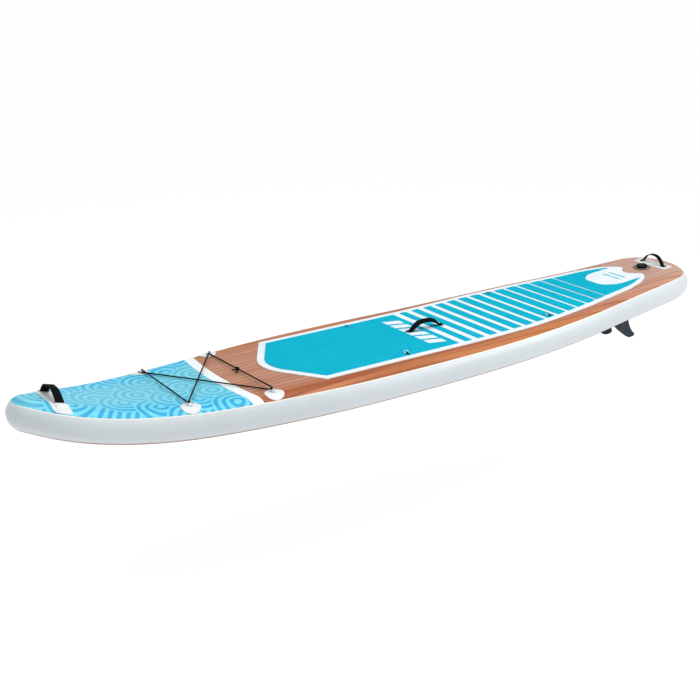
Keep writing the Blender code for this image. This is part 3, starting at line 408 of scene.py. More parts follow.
def deck_paint():
    """Plank print aft, a white curved stripe, and rings on pale blue towards the nose."""
    paint = Paint("deck_print", 0.45).gloss(0.3, 0.08, 0.3)
    x, y, _ = paint.axes("Object")

    plank = paint.math("FLOOR", paint.scaled(y, 1 / PLANK_WIDTH))
    own = paint.noise(paint.vector(paint.scaled(plank, 7.31), 0.5), 1.7, 0.0)
    grain = paint.streaks(5.0, (x, 0.9), (y, 34.0), (plank, 3.7))
    fine = paint.streaks(3.0, (x, 6.0), (y, 260.0))
    wood = paint.mix(paint.ramp(grain, 0.36, 0.66), linear(172, 118, 92), linear(202, 152, 126))
    wood = paint.mix(paint.scaled(own, 0.45), wood, linear(188, 122, 88))
    wood = paint.mix(paint.scaled(paint.ramp(fine, 0.35, 0.75), 0.22), wood, linear(150, 98, 74))
    # the outer planks are a deeper orange on both sides
    wide = paint.math("ABSOLUTE", y)
    edge = paint.ramp(paint.total(wide, paint.scaled(x, 0.012)), 0.22, 0.35)
    streak = paint.ramp(paint.streaks(2.0, (x, 0.7), (y, 24.0)), 0.4, 0.62)
    orange = paint.mix(streak, linear(188, 116, 66), linear(158, 76, 22))
    wood = paint.mix(paint.scaled(edge, 0.92), wood, orange)
    # and the middle ones fade towards the tail
    pale = paint.clipped(paint.ramp(wide, 0.30, 0.12), (paint.scaled(x, -1.0), 1.2, 1.8))
    wood = paint.mix(paint.scaled(pale, 0.45), wood, linear(214, 192, 182))
    seam = paint.math("PINGPONG", y, PLANK_WIDTH / 2)
    wood = paint.mix(paint.scaled(paint.ramp(seam, 0.0027, 0.0011), 0.66), wood, linear(112, 68, 46))

    # discs of plain rings in staggered rows, each laid over the ones before it
    line = None
    for row in range(RING_ROWS):
        for column in range(RING_COLUMNS):
            centre_x = 1.86 - 0.105 * row + 0.018 * math.sin(5.1 * row + 2.3 * column)
            centre_y = 0.205 * (column - 1.5 + 0.5 * (row % 2))
            centre_y += 0.02 * math.sin(3.7 * row + 1.9 * column)
            if abs(centre_y) > max(0.10, 0.36 - 0.55 * max(centre_x - 1.2, 0)):
                continue
            away_x = paint.scaled(x, 1.0, -centre_x)
            away_y = paint.scaled(y, 1.0, -centre_y)
            square = paint.math("MULTIPLY_ADD", away_y, away_y, paint.math("MULTIPLY", away_x, away_x))
            distance = paint.math("SQRT", square)
            own_line = paint.ramp(paint.wave(distance, RING_PITCH), 0.62, 0.38)
            if line is None:
                line = own_line
            else:
                share = paint.math("LESS_THAN", distance, RING_REACH)
                line = paint.mixed_number(share, line, own_line)
    blue = paint.mix(line, linear(128, 211, 232), linear(92, 190, 214))
    cloud = paint.noise(paint.vector(x, y), 5.0, 3.0)
    # stronger blues along both edges
    deep = paint.ramp(paint.total(wide, paint.scaled(cloud, 0.10), paint.scaled(x, 0.17)), 0.36, 0.50)
    strong = paint.mix(line, linear(112, 212, 238), linear(30, 168, 216))
    blue = paint.mix(deep, blue, strong)
    curve = paint.math("MULTIPLY_ADD", paint.scaled(y, 0.25), y, paint.scaled(x, 1.0, -STRIPE_X))
    front = paint.ramp(curve, STRIPE_HALF - 0.0005, STRIPE_HALF + 0.0005)
    rear = paint.ramp(curve, -STRIPE_HALF - 0.0005, -STRIPE_HALF + 0.0005)
    picture = paint.mix(rear, wood, paint.mix(front, linear(240, 245, 247), blue))
    return paint.colour(picture).bump(cloth_relief(paint, x, y), 0.00003).material


def shell_paint(name, colour, shade):
    """Coated cloth of the rail and the bottom, with a faint weave and slow changes of tone."""
    paint = Paint(name, 0.38).gloss(0.45, 0.1, 0.3)
    x, y, z = paint.axes("Object")
    cloud = paint.noise(paint.vector(x, y, z), 2.2, 3.0)
    relief = paint.total(cloth_relief(paint, x, z, 0.0018), paint.scaled(cloud, 3.0))
    tone = paint.mix(paint.ramp(cloud, 0.3, 0.7), colour, shade)
    return paint.colour(tone).bump(relief, 0.00004).material


def foam_paint(name, colour, shade, bars=None, grooved=True):
    """Closed cell foam with fine grain, uneven tone, painted groove shade as darker lines both ways, and bars
    where given.
    """
    paint = Paint(name, 0.9).gloss(0.08)
    x, y, z = paint.axes("Object")
    place = paint.vector(x, y, z)
    grain = paint.noise(place, 900.0, 2.0)
    cloud = paint.noise(place, 9.0, 3.0)
    tone = paint.mix(paint.ramp(cloud, 0.35, 0.65), colour, shade)
    # painted shade: the foam is darkened to a deep cyan along the grooves both ways, where shade falls in them;
    # only the lengthwise grooves are cut in the mesh
    if grooved:
        lines = [paint.ramp(paint.math("PINGPONG", value, half), 0.0022, 0.0012)
                 for value, half in ((y, GROOVE_PITCH / 2), (x, GROOVE_PITCH))]
        tone = paint.mix(paint.scaled(paint.math("MAXIMUM", *lines), 0.55), tone, linear(4, 112, 138))
    if bars:
        tone = bars(paint, x, y, tone)
    return paint.colour(tone).bump(grain, 0.00025).material


def pad_bars(paint, x, y, tone):
    """Row of six plain slanted white bars across the front panel."""
    slanted = paint.total(y, paint.scaled(x, 0.35))
    gap = paint.math("PINGPONG", paint.scaled(slanted, 1.0, 0.2375), 0.034)
    bar = paint.clipped(paint.ramp(gap, 0.0100, 0.0108),
                        (x, -0.1640, -0.1632), (paint.scaled(x, -1.0), 0.0792, 0.0800),
                        (slanted, -0.2375, -0.2365), (paint.scaled(slanted, -1.0), -0.1705, -0.1695))
    return paint.mix(bar, tone, linear(226, 234, 240))


def panel_bars(paint, x, y, tone):
    """Two plain cyan bars across the white tail panel."""
    middle = paint.math("PINGPONG", paint.scaled(x, 1.0, 1.470), 0.020)
    bar = paint.clipped(paint.ramp(middle, 0.0144, 0.0150), (paint.math("ABSOLUTE", y), 0.0608, 0.0600),
                        (x, -1.5000, -1.4992), (paint.scaled(x, -1.0), 1.4392, 1.4400))
    return paint.mix(bar, tone, linear(30, 178, 200))


def coated_paint(name, colour, shade, roughness=0.45):
    """Smooth coated cloth of the patches."""
    paint = Paint(name, roughness).gloss(0.4, 0.1, 0.35)
    x, y, z = paint.axes("Object")
    cloud = paint.noise(paint.vector(x, y, z), 30.0, 3.0)
    relief = paint.total(cloth_relief(paint, x, y, 0.0014), cloud)
    return paint.colour(paint.mix(cloud, colour, shade)).bump(relief, 0.00006).material


def webbing_paint(name, colour, light, pitch=0.0024):
    """Woven tape with a herringbone of threads; its UV is metres along it and across from its middle."""
    paint = Paint(name, 0.85).gloss(0.12)
    along, across, _ = paint.axes("UV")
    wide = paint.math("ABSOLUTE", across)
    rib = paint.wave(paint.total(along, wide), pitch)
    weave = paint.math("MULTIPLY", rib, paint.wave(across, pitch * 0.7))
    fuzz = paint.noise(paint.vector(along, across), 700.0, 2.0)
    tone = paint.mix(paint.math("MULTIPLY", weave, fuzz), colour, light)
    return paint.colour(tone).bump(paint.total(weave, paint.scaled(fuzz, 0.4)), 0.00045).material


def cord_paint():
    """Braided sleeve; its UV runs along the cord in metres and once round it."""
    paint = Paint("bungee_braid", 0.8).gloss(0.15)
    along, turn, _ = paint.axes("UV")
    around = paint.scaled(turn, 8 * 0.0032)
    first = paint.wave(paint.total(along, around), 0.0032)
    second = paint.wave(paint.math("SUBTRACT", along, around), 0.0032)
    braid = paint.math("MAXIMUM", first, second)
    tone = paint.mix(paint.ramp(braid, 0.75, 1.0), linear(4, 4, 5), linear(26, 26, 29))
    return paint.colour(tone).bump(braid, 0.0004).material


def plastic_paint(name, colour, shade, roughness=0.4, grain=1400.0, depth=0.00004):
    """Moulded plastic with a fine sparked surface."""
    paint = Paint(name, roughness).gloss(0.2)
    place = paint.vector(*paint.axes("Object"))
    fine = paint.noise(place, grain, 2.0)
    cloud = paint.noise(place, 18.0, 2.0)
    return paint.colour(paint.mix(cloud, colour, shade)).bump(fine, depth).material


def steel_paint():
    paint = Paint("ring_steel", 0.22, 1.0)
    place = paint.vector(*paint.axes("Object"))
    scratch = paint.noise(place, 260.0, 4.0)
    paint.put(paint.shader.inputs["Roughness"], paint.scaled(scratch, 0.25, 0.10))
    tone = paint.mix(scratch, linear(214, 216, 220), linear(236, 238, 240))
    return paint.colour(tone).bump(scratch, 0.00002).material


def fin_paint():
    """Blue-grey blade with a black edge; its UV is the share of chord and of depth."""
    paint = Paint("fin_blade", 0.42).gloss(0.25)
    chord, depth, _ = paint.axes("UV")
    x, y, z = paint.axes("Object")
    streak = paint.streaks(3.0, (x, 220.0), (y, 1.0), (z, 14.0))
    face = paint.mix(paint.ramp(streak, 0.35, 0.7), linear(24, 36, 49), linear(44, 59, 73))
    from_edge_share = paint.math("PINGPONG", chord, 0.5)
    inside = paint.clipped(paint.ramp(depth, 0.965, 0.93), (from_edge_share, 0.035, 0.085))
    return paint.colour(paint.mix(inside, linear(8, 10, 13), face)).bump(streak, 0.00005).material


# ---------------------------------------------------------------- meshes

def place_mesh(bm, name, surface, replaced=(), matrix=None, body="board", sharp=35):
    """Finish a bmesh as a piece that rides on a body, and stands for CAD nodes or has a slot of its own."""
    bmesh.ops.remove_doubles(bm, verts=bm.verts, dist=1e-6)
    bmesh.ops.recalc_face_normals(bm, faces=bm.faces)
    mesh = bpy.data.meshes.new(name)
    bm.to_mesh(mesh)
    bm.free()
    if matrix is not None:
        mesh.transform(matrix)
    mesh.materials.append(surface)
    mesh.shade_smooth()
    mesh.set_sharp_from_angle(angle=math.radians(sharp))
    piece = bpy.data.objects.new(name, mesh)
    bpy.context.scene.collection.objects.link(piece)
    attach(piece, body)
    if replaced:
        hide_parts(*replaced)
    return piece


def join_rings(bm, rings, wrap=True):
    for low, high in zip(rings, rings[1:]):
        for i in range(len(low) if wrap else len(low) - 1):
            j = (i + 1) % len(low)
            bm.faces.new((low[i], low[j], high[j], high[i]))


def skin_rings(bm, angles, radius):
    rings = []
    for angle in angles:
        ring = []
        for i, foot in enumerate(LOOP):
            plan = foot + outward(i) * (radius * math.sin(angle))
            height = RAIL_RADIUS + radius * math.cos(angle)
            ring.append(bm.verts.new((plan.x, plan.y, height + rocker(foot.x))))
        rings.append(ring)
    return rings


def cut_valve_hole(bm):
    """Take the round hole for the valve's barrel out of the deck shell."""
    cutter = bmesh.new()
    bmesh.ops.create_cone(cutter, cap_ends=True, segments=64, radius1=VALVE_HOLE, radius2=VALVE_HOLE,
                          depth=VALVE_HOLE_DEPTH, matrix=deck_frame(VALVE_X))
    objects = []
    for name, part in (("shell", bm), ("cutter", cutter)):
        bmesh.ops.remove_doubles(part, verts=part.verts, dist=1e-6)
        bmesh.ops.recalc_face_normals(part, faces=part.faces)
        mesh = bpy.data.meshes.new(name)
        part.to_mesh(mesh)
        objects.append(bpy.data.objects.new(name, mesh))
        bpy.context.scene.collection.objects.link(objects[-1])
    cutter.free()
    modifier = objects[0].modifiers.new("hole", "BOOLEAN")
    modifier.object = objects[1]
    modifier.solver = "EXACT"
    shell = objects[0].evaluated_get(bpy.context.evaluated_depsgraph_get())
    result = bpy.data.meshes.new_from_object(shell)
    bm.clear()
    bm.from_mesh(result)
    bpy.data.meshes.remove(result)
    for temporary in objects:
        mesh = temporary.data
        bpy.data.objects.remove(temporary)
        bpy.data.meshes.remove(mesh)


def hull_skin(name, start, end, thickness, surface, node, panel=True, hole=False):
    """Closed shell between two angles round the rail, with the flat panel too where there is one."""
    bm = bmesh.new()
    angles = spread(start, end, 10)
    outer = skin_rings(bm, angles, RAIL_RADIUS)
    inner = skin_rings(bm, angles, RAIL_RADIUS - thickness)
    join_rings(bm, outer)
    join_rings(bm, inner)
    join_rings(bm, [outer[-1], inner[-1]])
    if panel:
        for ring in (outer[0], inner[0]):
            for i in range(len(SIDE) - 1):
                corners = (ring[i], ring[i + 1], ring[(len(ring) - i - 1) % len(ring)],
                           ring[(len(ring) - i) % len(ring)])
                bm.faces.new(list(dict.fromkeys(corners)))
    else:
        join_rings(bm, [outer[0], inner[0]])
    if hole:
        cut_valve_hole(bm)
    return place_mesh(bm, name, surface, [node], sharp=50)


def seam_tape(name, middle, surface):
    """Thin raised band round the hull over the joint of two skins, at an angle round the rail."""
    bm = bmesh.new()
    shape = ((-SEAM_HALF, 0.0), (-SEAM_HALF * 0.7, SEAM_RISE), (0.0, SEAM_RISE * 1.1),
             (SEAM_HALF * 0.7, SEAM_RISE), (SEAM_HALF, 0.0))
    rings = [skin_rings(bm, [middle + turn], RAIL_RADIUS + rise)[0] for turn, rise in shape]
    rings += [skin_rings(bm, [middle + turn], RAIL_RADIUS - 0.0002)[0] for turn in (SEAM_HALF, -SEAM_HALF)]
    join_rings(bm, rings)
    join_rings(bm, [rings[-1], rings[0]])
    return place_mesh(bm, name, surface, sharp=60)


def prism(outline, low, high, chamfer=0.0006):
    """Upright prism over a plan outline, with its top edge eased."""
    bm = bmesh.new()
    rings = [[bm.verts.new((x, y, z)) for x, y in outline] for z in (low, high)]
    bm.faces.new(rings[0])
    roof = bm.faces.new(rings[1])
    join_rings(bm, rings)
    bmesh.ops.bevel(bm, geom=list(roof.edges), offset=chamfer, segments=2, affect="EDGES", profile=0.5)
    return bm


def lay_on_deck(bm, step=0.04):
    """Cut a shape across every step along the board, then take it to its place on the deck."""
    low = min(v.co.x for v in bm.verts)
    high = max(v.co.x for v in bm.verts)
    for i in range(int(low / step) - 1, int(high / step) + 2):
        if low + 0.001 < i * step < high - 0.001:
            parts = bm.verts[:] + bm.edges[:] + bm.faces[:]
            bmesh.ops.bisect_plane(bm, geom=parts, dist=1e-6, plane_co=(i * step, 0, 0), plane_no=(1, 0, 0))
    return bend_to_deck(bm)


def sheet_solid(top, low_of):
    """Closed solid under a grid of points; low_of gives the point below one of them."""
    bm = bmesh.new()
    upper = [[bm.verts.new(point) for point in row] for row in top]
    lower = [[bm.verts.new(low_of(point)) for point in row] for row in top]
    join_rings(bm, upper, wrap=False)
    join_rings(bm, lower, wrap=False)
    join_rings(bm, [grid[0] + [row[-1] for row in grid[1:-1]] + grid[-1][::-1]
                    + [row[0] for row in grid[-2:0:-1]] for grid in (upper, lower)])
    return bm


def rounded(corners, steps=8):
    """Outline through corners given as (x, y, radius), with an arc at each one that has a radius."""
    outline = []
    for i, (x, y, radius) in enumerate(corners):
        here = Vector((x, y))
        if radius == 0:
            outline.append((x, y))
            continue
        back = (Vector(corners[i - 1][:2]) - here).normalized()
        ahead = (Vector(corners[(i + 1) % len(corners)][:2]) - here).normalized()
        half = back.angle(ahead) / 2
        centre = here + (back + ahead).normalized() * (radius / math.sin(half))
        start = here + back * (radius / math.tan(half)) - centre
        end = here + ahead * (radius / math.tan(half)) - centre
        turn = start.angle_signed(end)
        for step in range(steps + 1):
            outline.append(tuple(centre + Matrix.Rotation(-turn * step / steps, 2) @ start))
    return outline


def mirror_outline(half):
    return list(half) + [(x, -y) for x, y in reversed(half) if y > 1e-6]


def skin_with_uv(bm, rings, uv_at, closed=False):
    """Join rings into a skin; uv_at gives the UV at a step along the rings and a step round them."""
    layer = bm.loops.layers.uv.new("UVMap")
    for i in range(len(rings) if closed else len(rings) - 1):
        here = rings[i]
        ahead = rings[(i + 1) % len(rings)]
        for k in range(len(here)):
            m = (k + 1) % len(here)
            face = bm.faces.new((here[k], here[m], ahead[m], ahead[k]))
            for loop, mark in zip(face.loops, ((i, k), (i, k + 1), (i + 1, k + 1), (i + 1, k))):
                loop[layer].uv = uv_at(*mark)
    if not closed:
        bm.faces.new(rings[0])
        bm.faces.new(rings[-1])


def sweep(path, radii, sides, closed=False):
    """Rod along a path, with one radius or a (wide, high) pair at each point. UV in metres and turns."""
    count = len(path)
    if isinstance(radii, float):
        radii = [(radii, radii)] * count
    runs = []
    for i in range(count):
        before = path[i - 1] if closed or i else path[0]
        after = path[(i + 1) % count] if closed or i < count - 1 else path[-1]
        runs.append((after - before).normalized())
    up = Vector((1, 0, 0)) if abs(runs[0].z) > 0.9 else Vector((0, 0, 1))
    tops = [(up - runs[0] * up.dot(runs[0])).normalized()]
    for before, after in zip(runs, runs[1:]):
        tops.append(before.rotation_difference(after) @ tops[-1])
    twist = 0.0
    if closed:
        last = runs[-1].rotation_difference(runs[0]) @ tops[-1]
        twist = math.atan2(last.cross(tops[0]).dot(runs[0]), last.dot(tops[0]))
    bm = bmesh.new()
    rings = []
    walked = [0.0]
    for i, point in enumerate(path):
        top = Quaternion(runs[i], twist * i / count) @ tops[i]
        side = runs[i].cross(top)
        wide, high = radii[i]
        rings.append([bm.verts.new(point + side * wide * math.cos(a) + top * high * math.sin(a))
                      for a in spread(0, 2 * math.pi, sides)[:-1]])
        walked.append(walked[-1] + (path[(i + 1) % count] - point).length)
    skin_with_uv(bm, rings, lambda along, turn: (walked[along], turn / sides), closed)
    return bm


def ribbon(path, across, width, thickness, place=lambda p: p):
    """Tape along a path with soft edges; place takes its points to the deck. UV in metres."""
    half = width / 2
    high = thickness / 2
    rim = 0.0006
    shoulder = [(half, 0), (half - rim * 0.3, high - rim * 0.5), (half - rim, high)]
    section = [(-x, z) for x, z in shoulder]
    section += [(half * share, high) for share in (-0.66, -0.33, 0.0, 0.33, 0.66)] + shoulder[::-1]
    section += [(x, -z) for x, z in reversed(section[1:-1])]
    bm = bmesh.new()
    rings = []
    walked = [0.0]
    for i, point in enumerate(path):
        after = path[min(i + 1, len(path) - 1)]
        normal = (after - path[max(i - 1, 0)]).cross(across).normalized()
        rings.append([bm.verts.new(place(point + across * x + normal * z)) for x, z in section])
        walked.append(walked[-1] + (after - point).length)
    skin_with_uv(bm, rings, lambda along, turn: (walked[along], section[turn % len(section)][0]))
    return bm


def turned(profile, segments=72):
    """Solid of revolution about Z from a closed (radius, height) profile."""
    bm = bmesh.new()
    columns = []
    for i in range(segments):
        turn = 2 * math.pi * i / segments
        columns.append([bm.verts.new((r * math.cos(turn), r * math.sin(turn), z)) for r, z in profile])
    for i in range(segments):
        left = columns[i]
        right = columns[(i + 1) % segments]
        for j in range(len(profile)):
            k = (j + 1) % len(profile)
            if profile[j][0] > 1e-9 or profile[k][0] > 1e-9:
                bm.faces.new((left[j], right[j], right[k], left[k]))
    bmesh.ops.remove_doubles(bm, verts=bm.verts, dist=1e-6)
    bmesh.ops.dissolve_degenerate(bm, dist=1e-7, edges=bm.edges)
    return bm


# ---------------------------------------------------------------- traction pad

def pad_half(x):
    return min(PAD_HALF, panel_half(x) - PAD_MARGIN)


def x_where_half(half, inset, start, end):
    """x between start and end, towards the tail, where the pad is only as wide as half plus inset."""
    if pad_half(end) - inset >= half:
        return end
    for _ in range(24):
        middle = (start + end) / 2
        if pad_half(middle) - inset >= half:
            start = middle
        else:
            end = middle
    return start


def pad_front_x(y, inset):
    """Front edge of the pad, or of its front panel with an inset, at y."""
    reach = PAD_TIP_RADIUS - inset
    limit = reach * math.sin(PAD_TIP_ANGLE)
    y = abs(y)
    centre = PAD_TIP - PAD_TIP_RADIUS
    if y <= limit:
        return centre + math.sqrt(reach * reach - y * y)
    return centre + reach * math.cos(PAD_TIP_ANGLE) - (y - limit) * math.tan(PAD_TIP_ANGLE)


def stripe_edges(number):
    share = number / (STRIPE_COUNT - 1)
    width = STRIPE_WIDEST + (STRIPE_NARROWEST - STRIPE_WIDEST) * share
    centre = STRIPE_FIRST - STRIPE_PITCH * number
    return centre + width / 2, centre - width / 2


def groove_columns(low, high):
    """y of every ridge and groove line between low and high, with the depth of each."""
    columns = []
    for i in range(int(low / GROOVE_PITCH) - 1, int(high / GROOVE_PITCH) + 2):
        for offset, depth in ((-0.0014, 0.0), (-0.0008, 1.0), (0.0008, 1.0), (0.0014, 0.0)):
            y = i * GROOVE_PITCH + offset
            if low + 0.0003 < y < high - 0.0003:
                columns.append((y, depth))
    return [(low, 0.0)] + columns + [(high, 0.0)]


def ribbed_foam(name, node, low, high, front, rear, rows, surface):
    """Grooved foam from y low to y high between two edges given as functions of y."""
    grid = []
    for y, depth in groove_columns(low, high):
        start = front(y)
        end = min(rear(y), start - 0.0002)
        inset = min(0.0006, (start - end) / 4)
        line = [(x, 0.0) for x in spread(start - inset, end + inset, rows)]
        line = [(start, 0.0006)] + line + [(end, 0.0006)]
        grid.append([(x, y, PAD_TOP - max(depth * GROOVE_DEPTH, drop)) for x, drop in line])
    foam = bend_to_deck(sheet_solid(grid, lambda p: (p[0], p[1], PAD_BASE - 0.0004)))
    piece = place_mesh(foam, name, surface, [node])


def tail_panel_outline():
    corners = [(PANEL_TIP, 0, 0), (PANEL_TIP, 0.065, 0.06), (PANEL_TIP - 0.07, PANEL_HALF, 0.07),
               (PANEL_TIP - 0.2, PANEL_HALF, 0)]
    return rounded(corners)[:-1]


def along_outline(outline, y):
    """x of an outline, given front to back with rising or falling y, at y."""
    for (x0, y0), (x1, y1) in zip(outline, outline[1:]):
        if min(y0, y1) <= y <= max(y0, y1) and y0 != y1:
            return x0 + (x1 - x0) * (y - y0) / (y1 - y0)
    return outline[0][0] if abs(y - outline[0][1]) < abs(y - outline[-1][1]) else outline[-1][0]


def build_pad(white, cyan, front_cyan):
    """White base, and over it the grooved cyan front panel, bands and tail piece."""
    front = [(pad_front_x(y, 0), y) for y in spread(0, pad_half(0.57), 24)]
    inside = [(x, pad_half(x)) for x in spread(front[-1][0] - 0.03, PAD_TAIL_START, 46)]
    corners = rounded([
        (PAD_TAIL_START, pad_half(PAD_TAIL_START), 0), (-1.5, 0.172, 0.15), (-1.568, 0.128, 0.12),
        (-1.604, 0.080, 0.022), (NOTCH_CENTRE + 0.024, 0.055, 0)])
    notch = [(NOTCH_CENTRE + NOTCH_RADIUS * math.cos(a), NOTCH_RADIUS * math.sin(a))
             for a in spread(math.atan2(0.055, 0.024), 0, 12)]
    base = prism(mirror_outline(front + inside + corners[1:-1] + notch), 0.0002, PAD_BASE)
    piece = place_mesh(lay_on_deck(base), "foam_base", white, ["pad_base"])

    rear = stripe_edges(0)[0]
    half = pad_half(0.3) - PAD_BORDER
    ribbed_foam("foam_front", "pad_front", -half, half, lambda y: pad_front_x(y, PAD_BORDER),
                lambda y: rear, 24, front_cyan)
    for number in range(STRIPE_COUNT - 1):
        start = stripe_edges(number)[1]
        end = stripe_edges(number + 1)[0]
        half = pad_half(start) - PAD_BORDER
        ribbed_foam(f"foam_band_{number + 1:02d}", f"pad_band_{number + 1:02d}", -half, half,
                    lambda y: start, lambda y: x_where_half(abs(y), PAD_BORDER, start, end), 3, cyan)

    start = stripe_edges(STRIPE_COUNT - 1)[1]
    outer = [(x, pad_half(x) - PAD_BORDER) for x in spread(start, -1.36, 12)]
    outer += [(-1.44, 0.160), (-1.50, 0.138), (-1.538, PANEL_HALF + 0.002)]
    smooth = [tuple(p) for p in smooth_line([Vector(p) for p in outer], 3)]
    panel = tail_panel_outline()
    outside = outer[0][1]
    ribbed_foam("foam_tail_middle", "pad_tail", -PANEL_HALF, PANEL_HALF, lambda y: start,
                lambda y: along_outline(panel, abs(y)), 10, cyan)
    for place, low, high in (("port", PANEL_HALF, outside), ("starboard", -outside, -PANEL_HALF)):
        ribbed_foam(f"foam_tail_{place}", "pad_tail", low, high, lambda y: start,
                    lambda y: along_outline(smooth, abs(y)), 16, cyan)


# ---------------------------------------------------------------- rings, patches and bungee

def wire_ring(size):
    """D-ring with its straight bar on the frame's Y axis and its bow towards X."""
    width, depth, wire = size
    half = width / 2 - wire
    path = [Vector((0, share * half, 0)) for share in (-0.75, -0.3, 0.3, 0.75)]
    path += [Vector(((depth - 2 * wire) * math.cos(a), half * math.sin(a), 0))
             for a in spread(math.radians(66), math.radians(-66), 8)]
    path = smooth_line(path, 4, closed=True)
    return sweep(path, wire, 12, closed=True)


def folded_tab(width, room, thickness, run=0.014):
    """Webbing folded round a ring's bar: an eye at the frame's origin and a flat tail to -X."""
    radius = room + thickness / 2
    fold = [Vector((radius * math.cos(a), 0, radius * math.sin(a)))
            for a in spread(math.radians(-88), math.radians(158), 20)]
    lower = [Vector((x, 0, -radius)) for x in spread(-run, -0.0004, 6)]
    top = thickness * 1.15 - radius
    upper = [Vector((x, 0, z)) for x, z in ((-run, top), (-radius * 1.9, top), (-radius * 1.35, -radius * 0.25))]
    return ribbon(lower + fold + upper[::-1], Vector((0, 1, 0)), width, thickness)


def draped_disc(x, y):
    """Round patch laid over the shoulder of the rail, with an eased rim."""
    bm = bmesh.new()
    sides = 56
    shape = [(share, PATCH_TOP) for share in (0.0, 0.25, 0.5, 0.7, 0.86, 0.97)]
    shape += [(0.995, PATCH_TOP - 0.0004), (1.0, 0.0008)]
    shape += [(share, SHEET_LOW) for share in (0.995, 0.6, 0.3, 0.0)]
    rings = []
    for share, height in shape:
        reach = share * PATCH_RADIUS
        rings.append([bm.verts.new(deck_point(x + reach * math.cos(a), y + reach * math.sin(a), height))
                      for a in spread(0, 2 * math.pi, sides)[:-1]])
    join_rings(bm, rings)
    bmesh.ops.remove_doubles(bm, verts=bm.verts, dist=1e-6)
    bmesh.ops.dissolve_degenerate(bm, dist=1e-7, edges=bm.edges)
    return bm


def draped_strip(middle, width, half_at, corner):
    """Patch across the board that follows the deck and wraps over both shoulders of the rail."""
    grid = []
    for share in (-0.5, -0.49, -0.46, -0.4, -0.3, -0.15, 0.0, 0.15, 0.3, 0.4, 0.46, 0.49, 0.5):
        x = middle + width * share
        inside = max(corner - (0.5 - abs(share)) * width, 0)
        half = half_at(x) - corner + math.sqrt(corner * corner - inside * inside)
        end = abs(share) == 0.5
        grid.append([(x, half * t, PATCH_TOP - (0.0005 if end or abs(t) == 1 else 0.0))
                     for t in spread(-1, 1, 64)])
    return bend_to_deck(sheet_solid(grid, lambda p: (p[0], p[1], SHEET_LOW)))


def build_rings(paints):
    """Rings at the rail and on the pad, with patches and tabs; gives the frames of the rail's rings."""
    frames = {}
    for place, x, side in RING_PLACES:
        disc = draped_disc(*from_edge(x, side, PATCH_BEYOND))
        place_mesh(disc, f"round_patch_{place}", paints["patch"], [f"ring_patch_{place}"])
        height = PATCH_TOP + LAY_GAP + RING_ROOM + RING_TAB
        frame = surface_frame(*from_edge(x, side, PATCH_BEYOND - RING_INBOARD), height)
        place_mesh(folded_tab(0.016, RING_ROOM, RING_TAB), f"ring_fold_{place}", paints["white_tape"],
                   [f"ring_tab_{place}"], frame)
        frames[place] = frame @ Matrix.Rotation(-RING_TILT, 4, "Y")
        place_mesh(wire_ring(RING_SIZE), f"rail_ring_{place}", paints["steel"], [f"d_ring_{place}"],
                   frames[place])
    for place, x, y in TIE_PLACES:
        frame = deck_frame(x, y, PAD_TOP + LAY_GAP + TIE_ROOM + TIE_TAB)
        frame = frame @ Matrix.Rotation(math.copysign(math.pi / 2, -y), 4, "Z")
        place_mesh(folded_tab(0.010, TIE_ROOM, TIE_TAB), f"tie_fold_{place}", paints["tape"],
                   [f"pad_tab_{place}"], frame)
        place_mesh(wire_ring(TIE_SIZE), f"tie_ring_wire_{place}", paints["steel"], [f"pad_ring_{place}"],
                   frame @ Matrix.Rotation(-TIE_LEAN, 4, "Y"), f"tie_ring_{place}")
    return frames


def round_bow(frame, toward, above):
    """Cord points round a ring's bow, from the middle of the ring out to where the leg starts."""
    bow = RING_SIZE[1] - 2 * RING_SIZE[2]
    turn = RING_SIZE[2] + CORD_RADIUS + CORD_GAP
    away = frame.inverted() @ toward
    lean = away.y / (away.x - bow)
    sign = 1 if above else -1
    points = []
    for degrees in (145, 112, 80):
        a = math.radians(degrees)
        out = turn * (1 + math.cos(a))
        points.append(frame @ Vector((bow - turn + out, lean * out, sign * turn * math.sin(a))))
    return points


def build_bungee(frames, surface):
    """One closed loop of cord through the four rings, with an overhand knot in the rear crossing."""
    legs = (("front_port", "rear_starboard", True, True), ("rear_starboard", "rear_port", False, True),
            ("rear_port", "front_starboard", False, False), ("front_starboard", "front_port", True, False))
    path = []
    knot = None
    for start, end, starts_above, ends_above in legs:
        here = frames[start]
        there = frames[end]
        inside = here @ Vector((RING_SIZE[1] - 3 * RING_SIZE[2] - CORD_RADIUS - CORD_GAP, 0, 0))
        leave = round_bow(here, there.translation, starts_above)
        arrive = round_bow(there, here.translation, ends_above)
        path += [inside] + leave + [leave[-1].lerp(arrive[-1], share) for share in (0.25, 0.5, 0.75)]
        path += reversed(arrive)
        if (start, end) == ("rear_starboard", "rear_port"):
            knot = (leave[-1].lerp(arrive[-1], 0.464), (arrive[-1] - leave[-1]).normalized())
    path = smooth_line(path, 5, closed=True)
    place_mesh(sweep(path, CORD_RADIUS, 14, closed=True), "bungee_braid", surface, ["bungee_cord"])

    # two turns round the standing cord, then the cord's two short ends
    middle, run = knot
    side = run.cross(Vector((0, 0, 1))).normalized()
    top = side.cross(run)
    turns = []
    for share, a in zip(spread(-1, 1, 40), spread(0, 2 * math.pi * KNOT_TURNS, 40)):
        out = side * math.cos(a) + top * math.sin(a)
        turns.append(middle + run * (KNOT_HALF * share) + out * KNOT_RADIUS)
    place_mesh(sweep(turns, CORD_RADIUS * 0.86, 12), "bungee_knot", surface)
    for number, way in enumerate((-1, 1)):
        foot = middle + run * (0.009 * way) - top * 0.004 + side * 0.003
        end = [foot, foot + side * 0.009 - top * 0.001 + run * (0.004 * way),
               foot + side * 0.017 - top * 0.0022 + run * (0.010 * way)]
        place_mesh(sweep(smooth_line(end, 5), CORD_RADIUS * 0.9, 12), f"bungee_end_{number + 1}", surface)


# ---------------------------------------------------------------- handles

